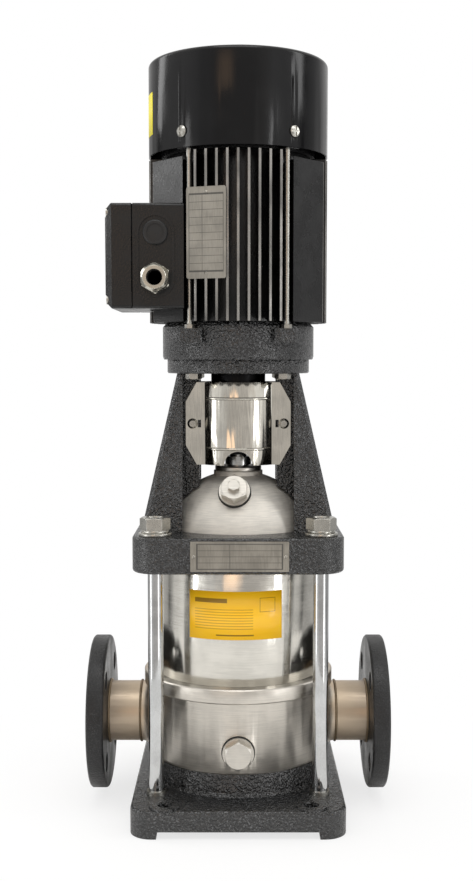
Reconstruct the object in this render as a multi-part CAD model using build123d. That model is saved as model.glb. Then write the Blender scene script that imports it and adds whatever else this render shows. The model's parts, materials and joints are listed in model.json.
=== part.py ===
from build123d import *
from math import asin, atan2, cos, degrees, radians, sin, sqrt
import os

# Vertical multistage pump: cast iron base, stainless casing, sleeve and head, cast iron
# motor stool, split coupling behind two guards, and a flange-mounted fan-cooled motor.
# Millimetres. +Z is up, the shaft axis is the Z axis, the floor is Z = 0, the ports lie
# along X (inlet at -X, outlet at +X) and the service side of the stool faces -Y.

# ---------------------------------------------------------------- clearances
seat_gap = 0.15           # radial play of still parts in their seats
press_gap = 0.02          # play left between parts that are pressed together
run_gap = 0.05            # radial play of turning parts in bushes and bearings
face_gap = 0.1            # axial play between turning and still faces
loose_gap = 0.3           # play between shaped castings that meet along curves

# ---------------------------------------------------------------- ports
port_height = 80.0        # port axis above the floor
port_to_port = 280.0      # raised face to raised face
port_bore = 21.0          # radius of the water way
stub_radius = 28.5        # outside of the port stubs
stub_flare = 10.0         # radius of the drawn-out neck at the casing
lap_radius = 42.0         # raised face of the stub end
lap_thickness = 4.0
lap_proud = 0.5           # raised face beyond the flange
flange_radius = 72.5
flange_thickness = 16.0
flange_pcd = 110.0
flange_hole = 9.0         # bolt hole radius
flange_bolts = 4
flange_chamfer = 1.5

# ---------------------------------------------------------------- base plate
base_width = 192.0        # along X
base_depth = 244.0        # along Y
base_corner = 20.0
base_edge = 3.0           # rounding of the upper edge
base_thickness = 18.1
foot_height = 6.5
foot_width = 24.0
foot_depth = 34.0
skirt_width = 9.0         # wall around the hollow underside
pocket_depth = 8.5
cross_rib = 10.0
foundation_x = 130.0      # foundation bolt spacing
foundation_y = 215.0
foundation_hole = 6.75
foundation_boss = 14.0
boss_height = 1.4
collar_radius = 85.0      # round upstand that carries the casing
collar_wall = 9.0
collar_height = 20.4
collar_fillet = 3.0

# ---------------------------------------------------------------- stay bolts
stay_spacing = 148.8      # square pattern
stay_radius = 7.0
stay_boss = 15.0
stay_engagement = 16.0    # thread length in the base plate
stay_nut_flats = 24.0
stay_nut_height = 11.2
stay_washer = 14.75       # flat washer radius
stay_washer_thickness = 2.8
lock_washer = 12.5
lock_washer_thickness = 2.6
foot_washer = 9.0
foot_washer_thickness = 3.0

# ---------------------------------------------------------------- casing, sleeve and head
casing_radius = 83.5
casing_wall = 3.0
casing_height = 65.8      # from the collar to the clamp ring
casing_sink = 17.0        # depth of the dished floor below the collar top
ring_radius = 90.0
ring_height = 13.4
sleeve_radius = 79.5
sleeve_wall = 2.0
sleeve_engagement = 10.4  # sleeve depth in the clamp ring
sleeve_length = 126.7
spigot_wall = 5.3
spigot_depth = 8.0
oring_section = 1.45      # radius of the O-ring cord
head_flange = 82.0
head_flange_thickness = 6.0
dome_radius = 71.2
dome_rise = 63.3          # height of the elliptical cap
dome_skirt = 3.5          # straight part between flange and cap
dome_wall = 3.0

# ---------------------------------------------------------------- screwed plugs
plug_thread = 9.9
plug_flange = 14.25
plug_flange_thickness = 3.0
plug_flats = 23.0
plug_hex = 8.5
plug_length = 15.0
plug_boss = 15.2
plug_seal_thickness = 1.5
drain_height = 66.0
drain_proud = 2.0         # boss face beyond the casing
priming_rise = 47.6       # boss face centre above the dome spring line
priming_reach = 51.8      # boss face centre from the shaft axis
priming_tilt = 30.0       # degrees above level
priming_turn = 3.6        # degrees round from the front towards the inlet
vent_flats = 10.0
vent_hex = 5.0
vent_stem = 3.0

# ---------------------------------------------------------------- motor stool
plate_half = 95.0
plate_corner = 23.0
plate_edge = 2.5
plate_thickness = 32.3
stool_height = 156.9      # head plate top to motor face
stool_flange = 66.8
stool_flange_thickness = 12.7
stool_bore = 31.0
leg_foot_reach = 89.0     # outside of a leg at the head plate
leg_top_reach = 56.0      # outside of a leg under the motor flange
leg_foot_half = 57.0      # half depth of a leg, front to rear
leg_top_half = 36.0
leg_inside = 51.0         # inner face of the legs
leg_wall = 7.0
leg_bevel = 3.5
leg_clearance = 2.0       # between the legs and the dome
guard_rib_inside = 36.0   # inner end of the ribs that carry the guards
guard_rib_half = 27.3     # outer face of these ribs from the shaft plane
guard_rib_width = 9.5

# ---------------------------------------------------------------- coupling guards
guard_radius = 42.0
guard_sheet = 1.0
guard_bulge = 31.5        # half width of the rounded part
guard_wing = 48.6         # half width over the flat wings
guard_wing_top = 38.5     # half width at the top and bottom edges
guard_taper = 18.0        # height of the sloping corners
guard_height = 76.4
guard_top_gap = 8.2       # open slot under the motor flange
guard_notch = 13.0        # half-round notch over the shaft seal
guard_bead = 1.3
guard_bead_inset = 15.0
guard_slot_width = 3.0
guard_slot_height = 7.0
guard_slot_reach = 36.0
guard_screw_reach = 42.3
guard_screw = 2.5
guard_screw_head = 4.8
guard_screw_head_height = 2.8

# ---------------------------------------------------------------- motor
motor_flange_pcd = 115.0
motor_flange_bolt = 4.0
motor_flange_flats = 13.0
motor_flange_head = 5.3
motor_spigot = 47.5
spigot_height = 3.0
shield_radius = 71.0
shield_height = 34.0
shield_wall = 6.0
shield_chamfer = 4.0
lug_width = 21.0
lug_reach = 68.5
lug_bottom = 15.2         # above the motor face
lug_height = 12.5
frame_length = 151.3
frame_bore = 62.0
frame_wall = 5.0
frame_overhang = 2.3      # fan-end rim beyond the fins
fin_radius = 83.0
fin_pitch = 9.45
fin_thickness = 2.2
front_fins = 9
side_fins = 5
panel_near = (49.0, 64.0)     # front edge of a corner panel
panel_far = (78.0, 28.0)      # side edge of a corner panel
panel_short = 4.0             # corner panels end below the fins
tie_x = 43.3              # through bolts
tie_y = 62.0
tie_radius = 2.5
tie_nut_flats = 8.0
tie_nut_height = 4.0
tie_thread = 8.0          # thread length in the fan-end lugs
fan_shield_radius = 71.0
fan_shield_thickness = 7.0
cover_radius = 83.0
cover_sheet = 1.5
cover_shoulder = 4.0
cover_height = 84.6
cover_crown = 3.5         # rise of the grille panel
crown_share = 0.72        # flat part of the grille panel
cover_lap = 0.7           # cover rim above the frame rim
cover_screw_height = 13.5
cover_screw_angle = 36.5
cover_screw = 2.5
cover_screw_head = 5.0
grille_rows = 4
grille_pitch = 10.5
grille_slot = 2.6         # half height of the slots
grille_bar = 5.0

# ---------------------------------------------------------------- terminal box
box_joint = 93.2          # lid joint from the shaft axis
box_reach = 117.7
box_front = 72.0
box_back = 26.0
box_bottom = 463.7
box_height = 92.4
box_side_edge = 48.0      # edge beside the nameplate
box_wall = 3.0
box_corner = 6.0
lid_groove = 1.2          # bevel along the lid joint
lid_screw = 2.5
lid_screw_head = 4.2
lid_screw_inset = 8.0
entry_offset = 73.0       # cable entries from the shaft axis
gland_rise = 26.5
blank_rise = 66.5
gland_thread = 10.0
gland_flats = 24.0
gland_hex = 5.0
gland_nut = 12.0
gland_nut_length = 13.0
gland_bore = 6.3
blank_radius = 11.0
blank_thickness = 3.5

# ---------------------------------------------------------------- rotating parts
pump_shaft = 8.0
motor_shaft = 9.5
shaft_extension = 40.0
shaft_split = 12.0        # space between the two shaft ends
coupling_radius = 25.6
coupling_length = 78.0
coupling_below = 10.3     # coupling top below the motor face
coupling_split = 1.0      # half the split between the halves
coupling_screw_reach = 16.5
coupling_screw = 4.0
coupling_screw_head = 6.4
coupling_screw_depth = 13.0
coupling_screw_inset = 17.0
coupling_pin = 2.5
coupling_pin_half = 12.0
key_width = 6.0
key_depth = 3.5
bearing_outer = 23.5
bearing_inner = 10.0
bearing_width = 14.0
bearing_ring = 3.5
bearing_balls = 8
rotor_radius = 35.6
air_gap = 0.4
core_length = 90.0
core_slots = 24
core_slot_depth = 14.0
end_winding = 12.0
fan_radius = 68.0
fan_blades = 9
fan_blade_height = 25.0
fan_hub = 14.0

# ---------------------------------------------------------------- hydraulics
stage_radius = 66.0
stage_pitch = 30.0
stage_count = 2
stage_sheet = 1.5
cover_plate = 3.0
impeller_radius = 52.0
impeller_eye = 21.0
impeller_width = 7.0
impeller_vanes = 6
impeller_hub = 12.0
return_vanes = 7
return_height = 9.0
bowl_radius = 58.0
bowl_wall = 2.5
duct_wall = 4.0
strap_count = 4
strap_width = 14.0
strap_sheet = 2.0
bush_wall = 3.0
sleeve_ring = 11.0        # radius of the spacer that runs in the bush
seal_cover_radius = 22.0
seal_cover_thickness = 4.7
seal_hub = 16.8
seal_hub_length = 14.0
seal_seat_wall = 3.5
seal_sleeve = 10.0
seal_collar = 12.6
seal_collar_height = 8.0

# ---------------------------------------------------------------- plates
motor_plate_width = 37.0
motor_plate_height = 79.6
motor_plate_rise = 70.9   # lower edge above the motor face
motor_plate_angle = 19.6  # degrees round from the front
head_plate_width = 87.0
head_plate_height = 27.0
head_plate_offset = 1.3
plate_sheet = 0.8
rivet_radius = 1.6

# ---------------------------------------------------------------- levels worked out from these
margin = 1.0              # how far cutting tools run past what they cut
base_top = foot_height + base_thickness
casing_seat = base_top + collar_height
casing_floor = casing_seat - casing_sink
ring_bottom = casing_seat + casing_height
ring_top = ring_bottom + ring_height
sleeve_bottom = ring_top - sleeve_engagement
sleeve_top = sleeve_bottom + sleeve_length
sleeve_inside = sleeve_radius - sleeve_wall
head_seat = sleeve_top + head_flange_thickness
spring_line = head_seat + dome_skirt
dome_top = spring_line + dome_rise
plate_top = head_seat + 15.3
plate_bottom = plate_top - plate_thickness
motor_face = plate_top + stool_height
stool_under = motor_face - stool_flange_thickness
shield_top = motor_face + shield_height
fins_top = shield_top + frame_length - frame_overhang
frame_top = shield_top + frame_length
cover_rim = frame_top + cover_lap
cover_top = cover_rim + cover_height
stay_half = stay_spacing / 2
box_top = box_bottom + box_height
guard_top = stool_under - guard_top_gap
guard_bottom = guard_top - guard_height
guard_mid = (guard_top + guard_bottom) / 2
coupling_top = motor_face - coupling_below
coupling_bottom = coupling_top - coupling_length
motor_shaft_end = motor_face - shaft_extension
pump_shaft_end = motor_shaft_end - shaft_split
stack_bottom = sleeve_bottom - 1.8
stack_floor = stack_bottom + cover_plate
stack_top = stack_floor + stage_count * stage_pitch
UP = (Align.CENTER, Align.CENTER, Align.MIN)


# ---------------------------------------------------------------- drawing helpers
def bar(radius, bottom, top, x=0.0, y=0.0):
    """Upright round bar between two heights."""
    return Pos(x, y, bottom) * Cylinder(radius, top - bottom, align=UP)


def tube(outer, inner, bottom, top, x=0.0, y=0.0):
    """Upright round tube between two heights."""
    return bar(outer, bottom, top, x, y) - bar(inner, bottom - margin, top + margin, x, y)


def hexagon(flats, bottom, top, x=0.0, y=0.0):
    """Upright hexagonal bar, chamfered at its upper corners as a nut is."""
    outline = RegularPolygon(flats / 2, 6, major_radius=False)
    corner = flats / sqrt(3)
    height = top - bottom
    crown = turned((0, 0), (corner + margin, 0), (corner + margin, height - margin - (corner - flats / 2) / 2),
                   (flats / 2 - margin / 4, height), (0, height))
    return Pos(x, y, bottom) * (extrude(outline, height) & crown)


def turned(*corners):
    """Body turned about the Z axis from the (radius, height) corners of half its section."""
    return revolve(make_face(Plane.XZ * Polyline(*corners, close=True)), Axis.Z)


def turned_path(path):
    """Body turned about the Z axis from a closed path of lines and arcs."""
    return revolve(make_face(Plane.XZ * path), Axis.Z)


def block(x0, x1, y0, y1, z0, z1):
    """Box between two opposite corners."""
    size = Box(abs(x1 - x0), abs(y1 - y0), abs(z1 - z0))
    return Pos((x0 + x1) / 2, (y0 + y1) / 2, (z0 + z1) / 2) * size


def prism(corners, bottom, top):
    """Upright prism over (x, y) corners."""
    return extrude(Pos(0, 0, bottom) * make_face(Polyline(*corners, close=True)), top - bottom)


def around(shape, count, start=0.0):
    """Copies of a shape spaced evenly about the Z axis."""
    return [Rot(0, 0, start + 360 * i / count) * shape for i in range(count)]


def four_corners(x, y):
    """The four points (+-x, +-y)."""
    return [(sx * x, sy * y) for sx in (-1, 1) for sy in (-1, 1)]


def joined(first, others):
    """One body fused from several."""
    for other in others:
        first = first + other
    return first


def group(shapes):
    """Separate solids kept together."""
    return Compound(children=[solid for shape in shapes for solid in shape.solids()])


def on_port(shape):
    """A body turned about Z, laid along the outlet port axis."""
    return Pos(0, 0, port_height) * Rot(0, 90, 0) * shape


def facing(x, y, z, out_x, out_y, out_z):
    """Placement whose local Z points out of a surface."""
    return Plane(origin=(x, y, z), z_dir=(out_x, out_y, out_z)).location


# ---------------------------------------------------------------- base plate
def make_base_plate():
    """Cast base plate with four feet, a ribbed hollow underside and the casing collar."""
    outline = RectangleRounded(base_width, base_depth, base_corner)
    plate = extrude(Pos(0, 0, foot_height) * outline, base_thickness)
    plate = fillet(plate.edges().group_by(Axis.Z)[-1], base_edge)
    corners = [Pos(x, y, foot_height / 2) * Box(2 * foot_width, 2 * foot_depth, foot_height)
               for x, y in four_corners(base_width / 2, base_depth / 2)]
    feet = extrude(outline, foot_height + margin / 2) & joined(corners[0], corners[1:])
    plate = plate + feet
    pocket_x = base_width / 2 - skirt_width - cross_rib / 2
    pocket_y = base_depth / 2 - skirt_width - cross_rib / 2
    for x, y in four_corners(cross_rib / 2 + pocket_x / 2, cross_rib / 2 + pocket_y / 2):
        outline = RectangleRounded(pocket_x, pocket_y, base_corner / 3)
        pocket = extrude(Pos(x, y, foot_height - margin) * outline, pocket_depth + margin)
        sx = 1 if x > 0 else -1
        sy = 1 if y > 0 else -1
        top = foot_height + pocket_depth + margin
        pocket = pocket - bar(stay_boss, 0, top, sx * stay_half, sy * stay_half)
        pocket = pocket - bar(foundation_boss, 0, top, sx * foundation_x / 2, sy * foundation_y / 2)
        foot = block(sx * (base_width / 2 - foot_width), sx * base_width, sy * (base_depth / 2 - foot_depth),
                     sy * base_depth, 0, top)
        plate = plate - (pocket - foot)
    collar = turned((collar_radius - collar_wall, base_top - margin),
                    (collar_radius + collar_fillet, base_top - margin),
                    (collar_radius + collar_fillet, base_top),
                    (collar_radius, base_top + collar_fillet),
                    (collar_radius, casing_seat),
                    (collar_radius - collar_wall, casing_seat))
    plate = plate + collar
    for x, y in four_corners(foundation_x / 2, foundation_y / 2):
        plate = plate + bar(foundation_boss, base_top - margin, base_top + boss_height, x, y)
        plate = plate - bar(foundation_hole, -margin, base_top + boss_height + margin, x, y)
    for x, y in four_corners(stay_half, stay_half):
        plate = plate - bar(stay_radius + seat_gap, base_top - stay_engagement - margin, base_top + margin, x, y)
    return plate


# ---------------------------------------------------------------- casing with ports
def ring_groove(height):
    """Groove for an O-ring on a spigot that fits inside the sleeve."""
    depth = 2 * oring_section + seat_gap
    half = oring_section + seat_gap
    return tube(sleeve_inside + margin, sleeve_inside - depth, height - half, height + half)


def make_port_stub():
    """Drawn-out neck, stub and raised face, before the water way is bored."""
    neck = stub_radius + stub_flare
    foot = casing_radius - casing_wall - 10
    tangent = casing_radius + stub_flare * 0.85
    drop = tangent - casing_radius
    foot_radius = neck - sqrt(stub_flare ** 2 - drop ** 2)
    middle = asin(drop / stub_flare) / 2
    face = port_to_port / 2
    path = Polyline((0, foot), (foot_radius, foot), (foot_radius, casing_radius))
    path += ThreePointArc((foot_radius, casing_radius),
                          (neck - stub_flare * cos(middle), tangent - stub_flare * sin(middle)),
                          (stub_radius, tangent))
    path += Polyline((stub_radius, tangent), (stub_radius, face - lap_thickness),
                     (lap_radius, face - lap_thickness), (lap_radius, face), (0, face), (0, foot))
    return on_port(turned_path(path))


def drain_place():
    """Face of the drain boss."""
    return facing(0, -(casing_radius + drain_proud), drain_height, 0, -1, 0)


def make_base_casing():
    """Pressed casing with a dished floor, two ports, a drain boss and the clamp ring."""
    inside = casing_radius - casing_wall
    spigot = collar_radius - collar_wall - loose_gap
    lip = sleeve_inside - seat_gap
    lip_inside = lip - spigot_wall
    outer = turned((0, casing_floor), (spigot - 5, casing_floor), (spigot, casing_floor + 6),
                   (spigot, casing_seat), (casing_radius, casing_seat), (casing_radius, ring_bottom),
                   (ring_radius - 1, ring_bottom), (ring_radius, ring_bottom + 1), (ring_radius, ring_top - 1),
                   (ring_radius - 1, ring_top), (sleeve_radius + seat_gap, ring_top),
                   (sleeve_radius + seat_gap, sleeve_bottom), (lip, sleeve_bottom),
                   (lip, sleeve_bottom + spigot_depth), (0, sleeve_bottom + spigot_depth))
    stub = make_port_stub()
    casing = outer + stub + Rot(0, 0, 180) * stub
    casing = casing + drain_place() * Pos(0, 0, -casing_wall - 4) * Cylinder(plug_boss, casing_wall + 4, align=UP)
    inner = turned((0, casing_floor + casing_wall), (spigot - casing_wall - 4, casing_floor + casing_wall),
                   (spigot - casing_wall, casing_floor + casing_wall + 5),
                   (spigot - casing_wall, casing_seat + casing_wall), (inside, casing_seat + casing_wall),
                   (inside, ring_bottom - 3), (lip_inside, ring_bottom),
                   (lip_inside, sleeve_bottom + spigot_depth + margin),
                   (0, sleeve_bottom + spigot_depth + margin))
    casing = casing - inner
    bore = port_to_port / 2 - inside + 10
    for side in (0, 180):
        way = Pos(0, 0, inside - 10) * Cylinder(port_bore, bore + margin, align=UP)
        casing = casing - Rot(0, 0, side) * on_port(way)
    casing = casing - drain_place() * Pos(0, 0, -20) * Cylinder(plug_thread + seat_gap, 20 + margin, align=UP)
    return casing - ring_groove(sleeve_bottom + spigot_depth / 2)


def make_flange(side):
    """Loose cast iron flange held behind the raised face of a stub."""
    front = port_to_port / 2 - lap_proud
    back = front - flange_thickness
    seat = port_to_port / 2 - lap_thickness - seat_gap
    flange = turned((stub_radius + seat_gap, back), (flange_radius - flange_chamfer, back),
                    (flange_radius, back + flange_chamfer), (flange_radius, front - flange_chamfer),
                    (flange_radius - flange_chamfer, front), (lap_radius + seat_gap, front),
                    (lap_radius + seat_gap, seat), (stub_radius + seat_gap, seat))
    hole = bar(flange_hole, back - margin, front + margin, flange_pcd / 2)
    for cut in around(hole, flange_bolts, 180 / flange_bolts):
        flange = flange - cut
    return Rot(0, 0, side) * on_port(flange)


# ---------------------------------------------------------------- plugs
def make_plug(place, bored=False):
    """Hexagon plug with a sealing flange, screwed into a boss."""
    base = plug_seal_thickness
    plug = Cylinder(plug_thread, plug_length + base, align=(Align.CENTER, Align.CENTER, Align.MAX))
    plug = Pos(0, 0, base) * plug + bar(plug_flange, base, base + plug_flange_thickness)
    plug = plug + hexagon(plug_flats, base + plug_flange_thickness - margin, base + plug_flange_thickness + plug_hex)
    if bored:
        top = base + plug_flange_thickness + plug_hex
        plug = plug - bar(vent_stem + run_gap, -plug_length - margin, top + margin)
    return place * plug


def make_plug_seal(place):
    """Flat sealing ring under a plug flange."""
    return place * tube(plug_boss, plug_thread + seat_gap, 0, plug_seal_thickness)


def priming_place():
    """Face of the priming boss on the head, tilted up towards the front."""
    tilt = radians(priming_tilt)
    return Rot(0, 0, -priming_turn) * facing(0, -priming_reach, spring_line + priming_rise, 0, -cos(tilt), sin(tilt))


def make_vent_screw():
    """Hexagon vent screw in the middle of the priming plug."""
    seat = plug_seal_thickness + plug_flange_thickness + plug_hex + face_gap
    screw = hexagon(vent_flats, seat, seat + vent_hex)
    stem = Pos(0, 0, seat + margin) * Cylinder(vent_stem, seat + plug_length - 2, align=(
        Align.CENTER, Align.CENTER, Align.MAX))
    return priming_place() * (screw + stem)


# ---------------------------------------------------------------- sleeve and head
def make_orings():
    """O-rings inside both ends of the sleeve."""
    middle = sleeve_inside - press_gap - oring_section
    heights = (sleeve_bottom + spigot_depth / 2, sleeve_top - spigot_depth / 2)
    return group([Pos(0, 0, z) * Torus(middle, oring_section) for z in heights])


def dome_solid(radius, rise, bottom):
    """Elliptical cap on a straight skirt."""
    profile = Polyline((0, bottom), (radius, bottom), (radius, spring_line))
    profile += EllipticalCenterArc((0, spring_line), radius, rise, start_angle=0, arc_size=90)
    profile += Line((0, spring_line + rise), (0, bottom))
    return turned_path(profile)


def make_pump_head():
    """Stainless head: flange on the sleeve, domed cap, priming boss and seal opening."""
    spigot = sleeve_inside - seat_gap
    spigot_inside = spigot - spigot_wall
    head = dome_solid(dome_radius, dome_rise, sleeve_top)
    head = head + bar(head_flange, sleeve_top, head_seat)
    head = head + bar(spigot, sleeve_top - spigot_depth, sleeve_top + margin)
    head = head + bar(seal_cover_radius + 1.2, dome_top - 6, dome_top + 0.5)
    head = head + priming_place() * Pos(0, 0, -24) * Cylinder(plug_boss, 24, align=UP)
    hollow = dome_solid(dome_radius - dome_wall, dome_rise - dome_wall, sleeve_top - margin)
    hollow = hollow + bar(dome_radius - dome_wall, sleeve_top - spigot_depth - margin, sleeve_top)
    head = head - hollow
    head = head - bar(spigot_inside, sleeve_top - spigot_depth - margin, sleeve_top - 3)
    head = head - bar(seal_hub + seat_gap, dome_top - 12, dome_top + margin)
    head = head - priming_place() * Pos(0, 0, -30) * Cylinder(plug_thread + seat_gap, 30 + margin, align=UP)
    head = head - priming_place() * bar(plug_boss + seat_gap, 0, plug_length)
    return head - ring_groove(sleeve_top - spigot_depth / 2)


# ---------------------------------------------------------------- stay bolts
stay_washer_top = plate_top + stay_washer_thickness
stay_lock_top = stay_washer_top + lock_washer_thickness
stay_nut_top = stay_lock_top + stay_nut_height


def make_stay_bolts():
    """Four long bolts from the base plate to the nuts on the head plate."""
    tip = 1.2
    bolt = turned((0, base_top - stay_engagement), (stay_radius - tip, base_top - stay_engagement),
                  (stay_radius, base_top - stay_engagement + tip), (stay_radius, stay_nut_top - 2 * tip),
                  (stay_radius - tip, stay_nut_top - tip), (0, stay_nut_top - tip))
    return group([Pos(x, y) * bolt for x, y in four_corners(stay_half, stay_half)])


def make_stay_washers():
    """Flat washers and split spring washers under the nuts."""
    flat = tube(stay_washer, stay_radius + seat_gap, plate_top, stay_washer_top)
    slit = Rot(0, 0, 20) * block(0, lock_washer + margin, -0.8, 0.8, stay_washer_top - margin, stay_lock_top + margin)
    ring = tube(lock_washer, stay_radius + seat_gap, stay_washer_top, stay_lock_top) - slit
    return group([Pos(x, y) * part for x, y in four_corners(stay_half, stay_half) for part in (flat, ring)])


def make_stay_nuts():
    """Hexagon nuts of the stay bolts."""
    nut = hexagon(stay_nut_flats, stay_lock_top, stay_nut_top)
    nut = nut - bar(stay_radius + press_gap, stay_lock_top - margin, stay_nut_top + margin)
    return group([Pos(x, y) * nut for x, y in four_corners(stay_half, stay_half)])


def make_foot_washers():
    """Small washers where the stay bolts enter the base plate."""
    return group([tube(foot_washer, stay_radius + seat_gap, base_top, base_top + foot_washer_thickness, x, y)
                  for x, y in four_corners(stay_half, stay_half)])


# ---------------------------------------------------------------- motor stool
def leg_loft(inset, reach_inside):
    """Tapering leg between the head plate and the motor flange, shrunk by an inset."""
    sections = []
    for z, reach, half in ((plate_top - margin, leg_foot_reach, leg_foot_half),
                           (stool_under + margin, leg_top_reach, leg_top_half)):
        width = reach - inset - reach_inside
        depth = 2 * (half - inset)
        sections.append(Pos(reach_inside + width / 2, 0, z) * Rectangle(width, depth))
    return loft(sections)


def make_leg():
    """Right-hand leg: a channel open to the inside, with two ribs for the guards."""
    leg = leg_loft(0, leg_inside)
    outer_edges = leg.edges().filter_by(lambda e: e.length > stool_height - stool_flange_thickness
                                        and e.center().X > leg_inside + 5)
    leg = chamfer(outer_edges, leg_bevel)
    leg = leg - leg_loft(leg_wall, leg_inside - margin)
    envelope = leg_loft(0, guard_rib_inside)
    for side in (-1, 1):
        near = side * (guard_rib_half - guard_rib_width)
        far = side * guard_rib_half
        rib = block(guard_rib_inside, leg_foot_reach, min(near, far), max(near, far), plate_top - margin, stool_under + margin)
        leg = leg + (rib & envelope)
    return leg


def make_motor_stool():
    """One casting: head plate, two legs with guard ribs and the motor flange."""
    outline = RectangleRounded(2 * plate_half, 2 * plate_half, plate_corner)
    plate = extrude(Pos(0, 0, plate_bottom) * outline, plate_thickness)
    faces = plate.edges().group_by(Axis.Z)
    plate = fillet(faces[0] + faces[-1], plate_edge)
    leg = make_leg()
    stool = plate + leg + Rot(0, 0, 180) * leg
    clearance = dome_solid(dome_radius + leg_clearance, dome_rise + leg_clearance, plate_bottom - margin)
    stool = stool - clearance
    stool = stool - bar(sleeve_radius + loose_gap, plate_bottom - margin, sleeve_top)
    stool = stool - bar(head_flange + loose_gap, sleeve_top - 3, head_seat)
    flange = turned((stool_bore, stool_under), (stool_flange - 1, stool_under), (stool_flange, stool_under + 1),
                    (stool_flange, motor_face), (motor_spigot + seat_gap, motor_face),
                    (motor_spigot + seat_gap, motor_face - spigot_height - seat_gap),
                    (stool_bore, motor_face - spigot_height - seat_gap))
    stool = stool + flange
    for x, y in four_corners(stay_half, stay_half):
        stool = stool - bar(stay_radius + 2 * seat_gap, plate_bottom - margin, plate_top + margin, x, y)
    reach = motor_flange_pcd / 2 * cos(radians(45))
    for x, y in four_corners(reach, reach):
        stool = stool - bar(motor_flange_bolt + seat_gap, stool_under - margin, motor_face + margin, x, y)
    for x, y in four_corners(guard_screw_reach, guard_rib_half):
        hole = facing(x, y, guard_mid, 0, 1, 0) * Cylinder(guard_screw + seat_gap, 2 * guard_rib_width - 2)
        stool = stool - hole
    return stool


def make_motor_flange_bolts():
    """Bolts that hold the motor on the stool, heads below."""
    tip = motor_face + 9
    bolt = hexagon(motor_flange_flats, 0, motor_flange_head)
    bolt = Pos(0, 0, stool_under) * Rot(180, 0, 0) * bolt
    bolt = bolt + bar(motor_flange_bolt, stool_under - margin, tip)
    reach = motor_flange_pcd / 2 * cos(radians(45))
    return group([Pos(x, y) * bolt for x, y in four_corners(reach, reach)])


# ---------------------------------------------------------------- coupling guards
def guard_section(inset):
    """Outline of a guard seen from above: rounded middle and flat wings."""
    outer = guard_radius - inset
    chord = sqrt(guard_radius ** 2 - guard_bulge ** 2)
    wing = -(guard_rib_half + guard_sheet) + inset
    arc_end = sqrt(outer ** 2 - wing ** 2)
    return outer, min(chord, outer), wing, arc_end


def make_guard(angle):
    """Sheet guard with beads, sloping wing corners, seal notch and screw slots."""
    outer, _, wing_out, arc_out = guard_section(0)
    inner, _, wing_in, arc_in = guard_section(guard_sheet)
    outline = Polyline((-guard_wing, wing_in), (-guard_wing, wing_out), (-arc_out, wing_out))
    outline += ThreePointArc((-arc_out, wing_out), (0, -outer), (arc_out, wing_out))
    outline += Polyline((arc_out, wing_out), (guard_wing, wing_out), (guard_wing, wing_in), (arc_in, wing_in))
    outline += ThreePointArc((arc_in, wing_in), (0, -inner), (-arc_in, wing_in))
    outline += Line((-arc_in, wing_in), (-guard_wing, wing_in))
    guard = extrude(Pos(0, 0, guard_bottom) * make_face(outline), guard_height)
    for z in (guard_bottom + guard_bead_inset, guard_top - guard_bead_inset):
        bead = Pos(0, 0, z) * Torus(guard_radius - 0.3, guard_bead)
        hollow = Pos(0, 0, z) * Torus(guard_radius - 0.3, guard_bead - guard_sheet * 0.7)
        front = block(-guard_bulge + 2, guard_bulge - 2, -guard_radius - 3, wing_out, z - 3, z + 3)
        guard = guard + (bead & front - bar(inner + guard_sheet / 2, z - 4, z + 4)) - (hollow & front)
    shape = [(-guard_wing, guard_bottom + guard_taper), (-guard_wing, guard_top - guard_taper),
             (-guard_wing_top, guard_top), (guard_wing_top, guard_top),
             (guard_wing, guard_top - guard_taper), (guard_wing, guard_bottom + guard_taper),
             (guard_wing_top, guard_bottom), (-guard_wing_top, guard_bottom)]
    front_view = extrude(make_face(Plane.XZ * Polyline(*shape, close=True)), guard_radius + 5, both=True)
    guard = guard & front_view
    notch = Pos(0, -guard_radius, guard_bottom) * Rot(90, 0, 0) * Cylinder(guard_notch, guard_radius)
    guard = guard - notch
    for side in (-1, 1):
        slot = block(side * guard_slot_reach - guard_slot_width / 2, side * guard_slot_reach + guard_slot_width / 2,
                     wing_out - margin, wing_in + margin,
                     guard_mid - guard_slot_height / 2, guard_mid + guard_slot_height / 2)
        hole = Pos(side * guard_screw_reach, -guard_rib_half, guard_mid) * Rot(90, 0, 0) * Cylinder(
            guard_screw + seat_gap, 6)
        guard = guard - slot - hole
    return Rot(0, 0, angle) * guard


def make_guard_screws():
    """Button-head screws of the guards."""
    head = turned((0, 0), (guard_screw_head, 0), (guard_screw_head, 0.8),
                  (guard_screw_head * 0.6, guard_screw_head_height), (0, guard_screw_head_height))
    head = head - extrude(Pos(0, 0, guard_screw_head_height - 1.5) * RegularPolygon(1.6, 6), 3)
    screw = head + bar(guard_screw, -guard_rib_width, margin)
    places = []
    for x, y in four_corners(guard_screw_reach, guard_rib_half + guard_sheet):
        places.append(facing(x, y, guard_mid, 0, 1 if y > 0 else -1, 0) * screw)
    return group(places)


# ---------------------------------------------------------------- motor housing
def tie_corners():
    """Through bolt centres."""
    return four_corners(tie_x, tie_y)


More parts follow.
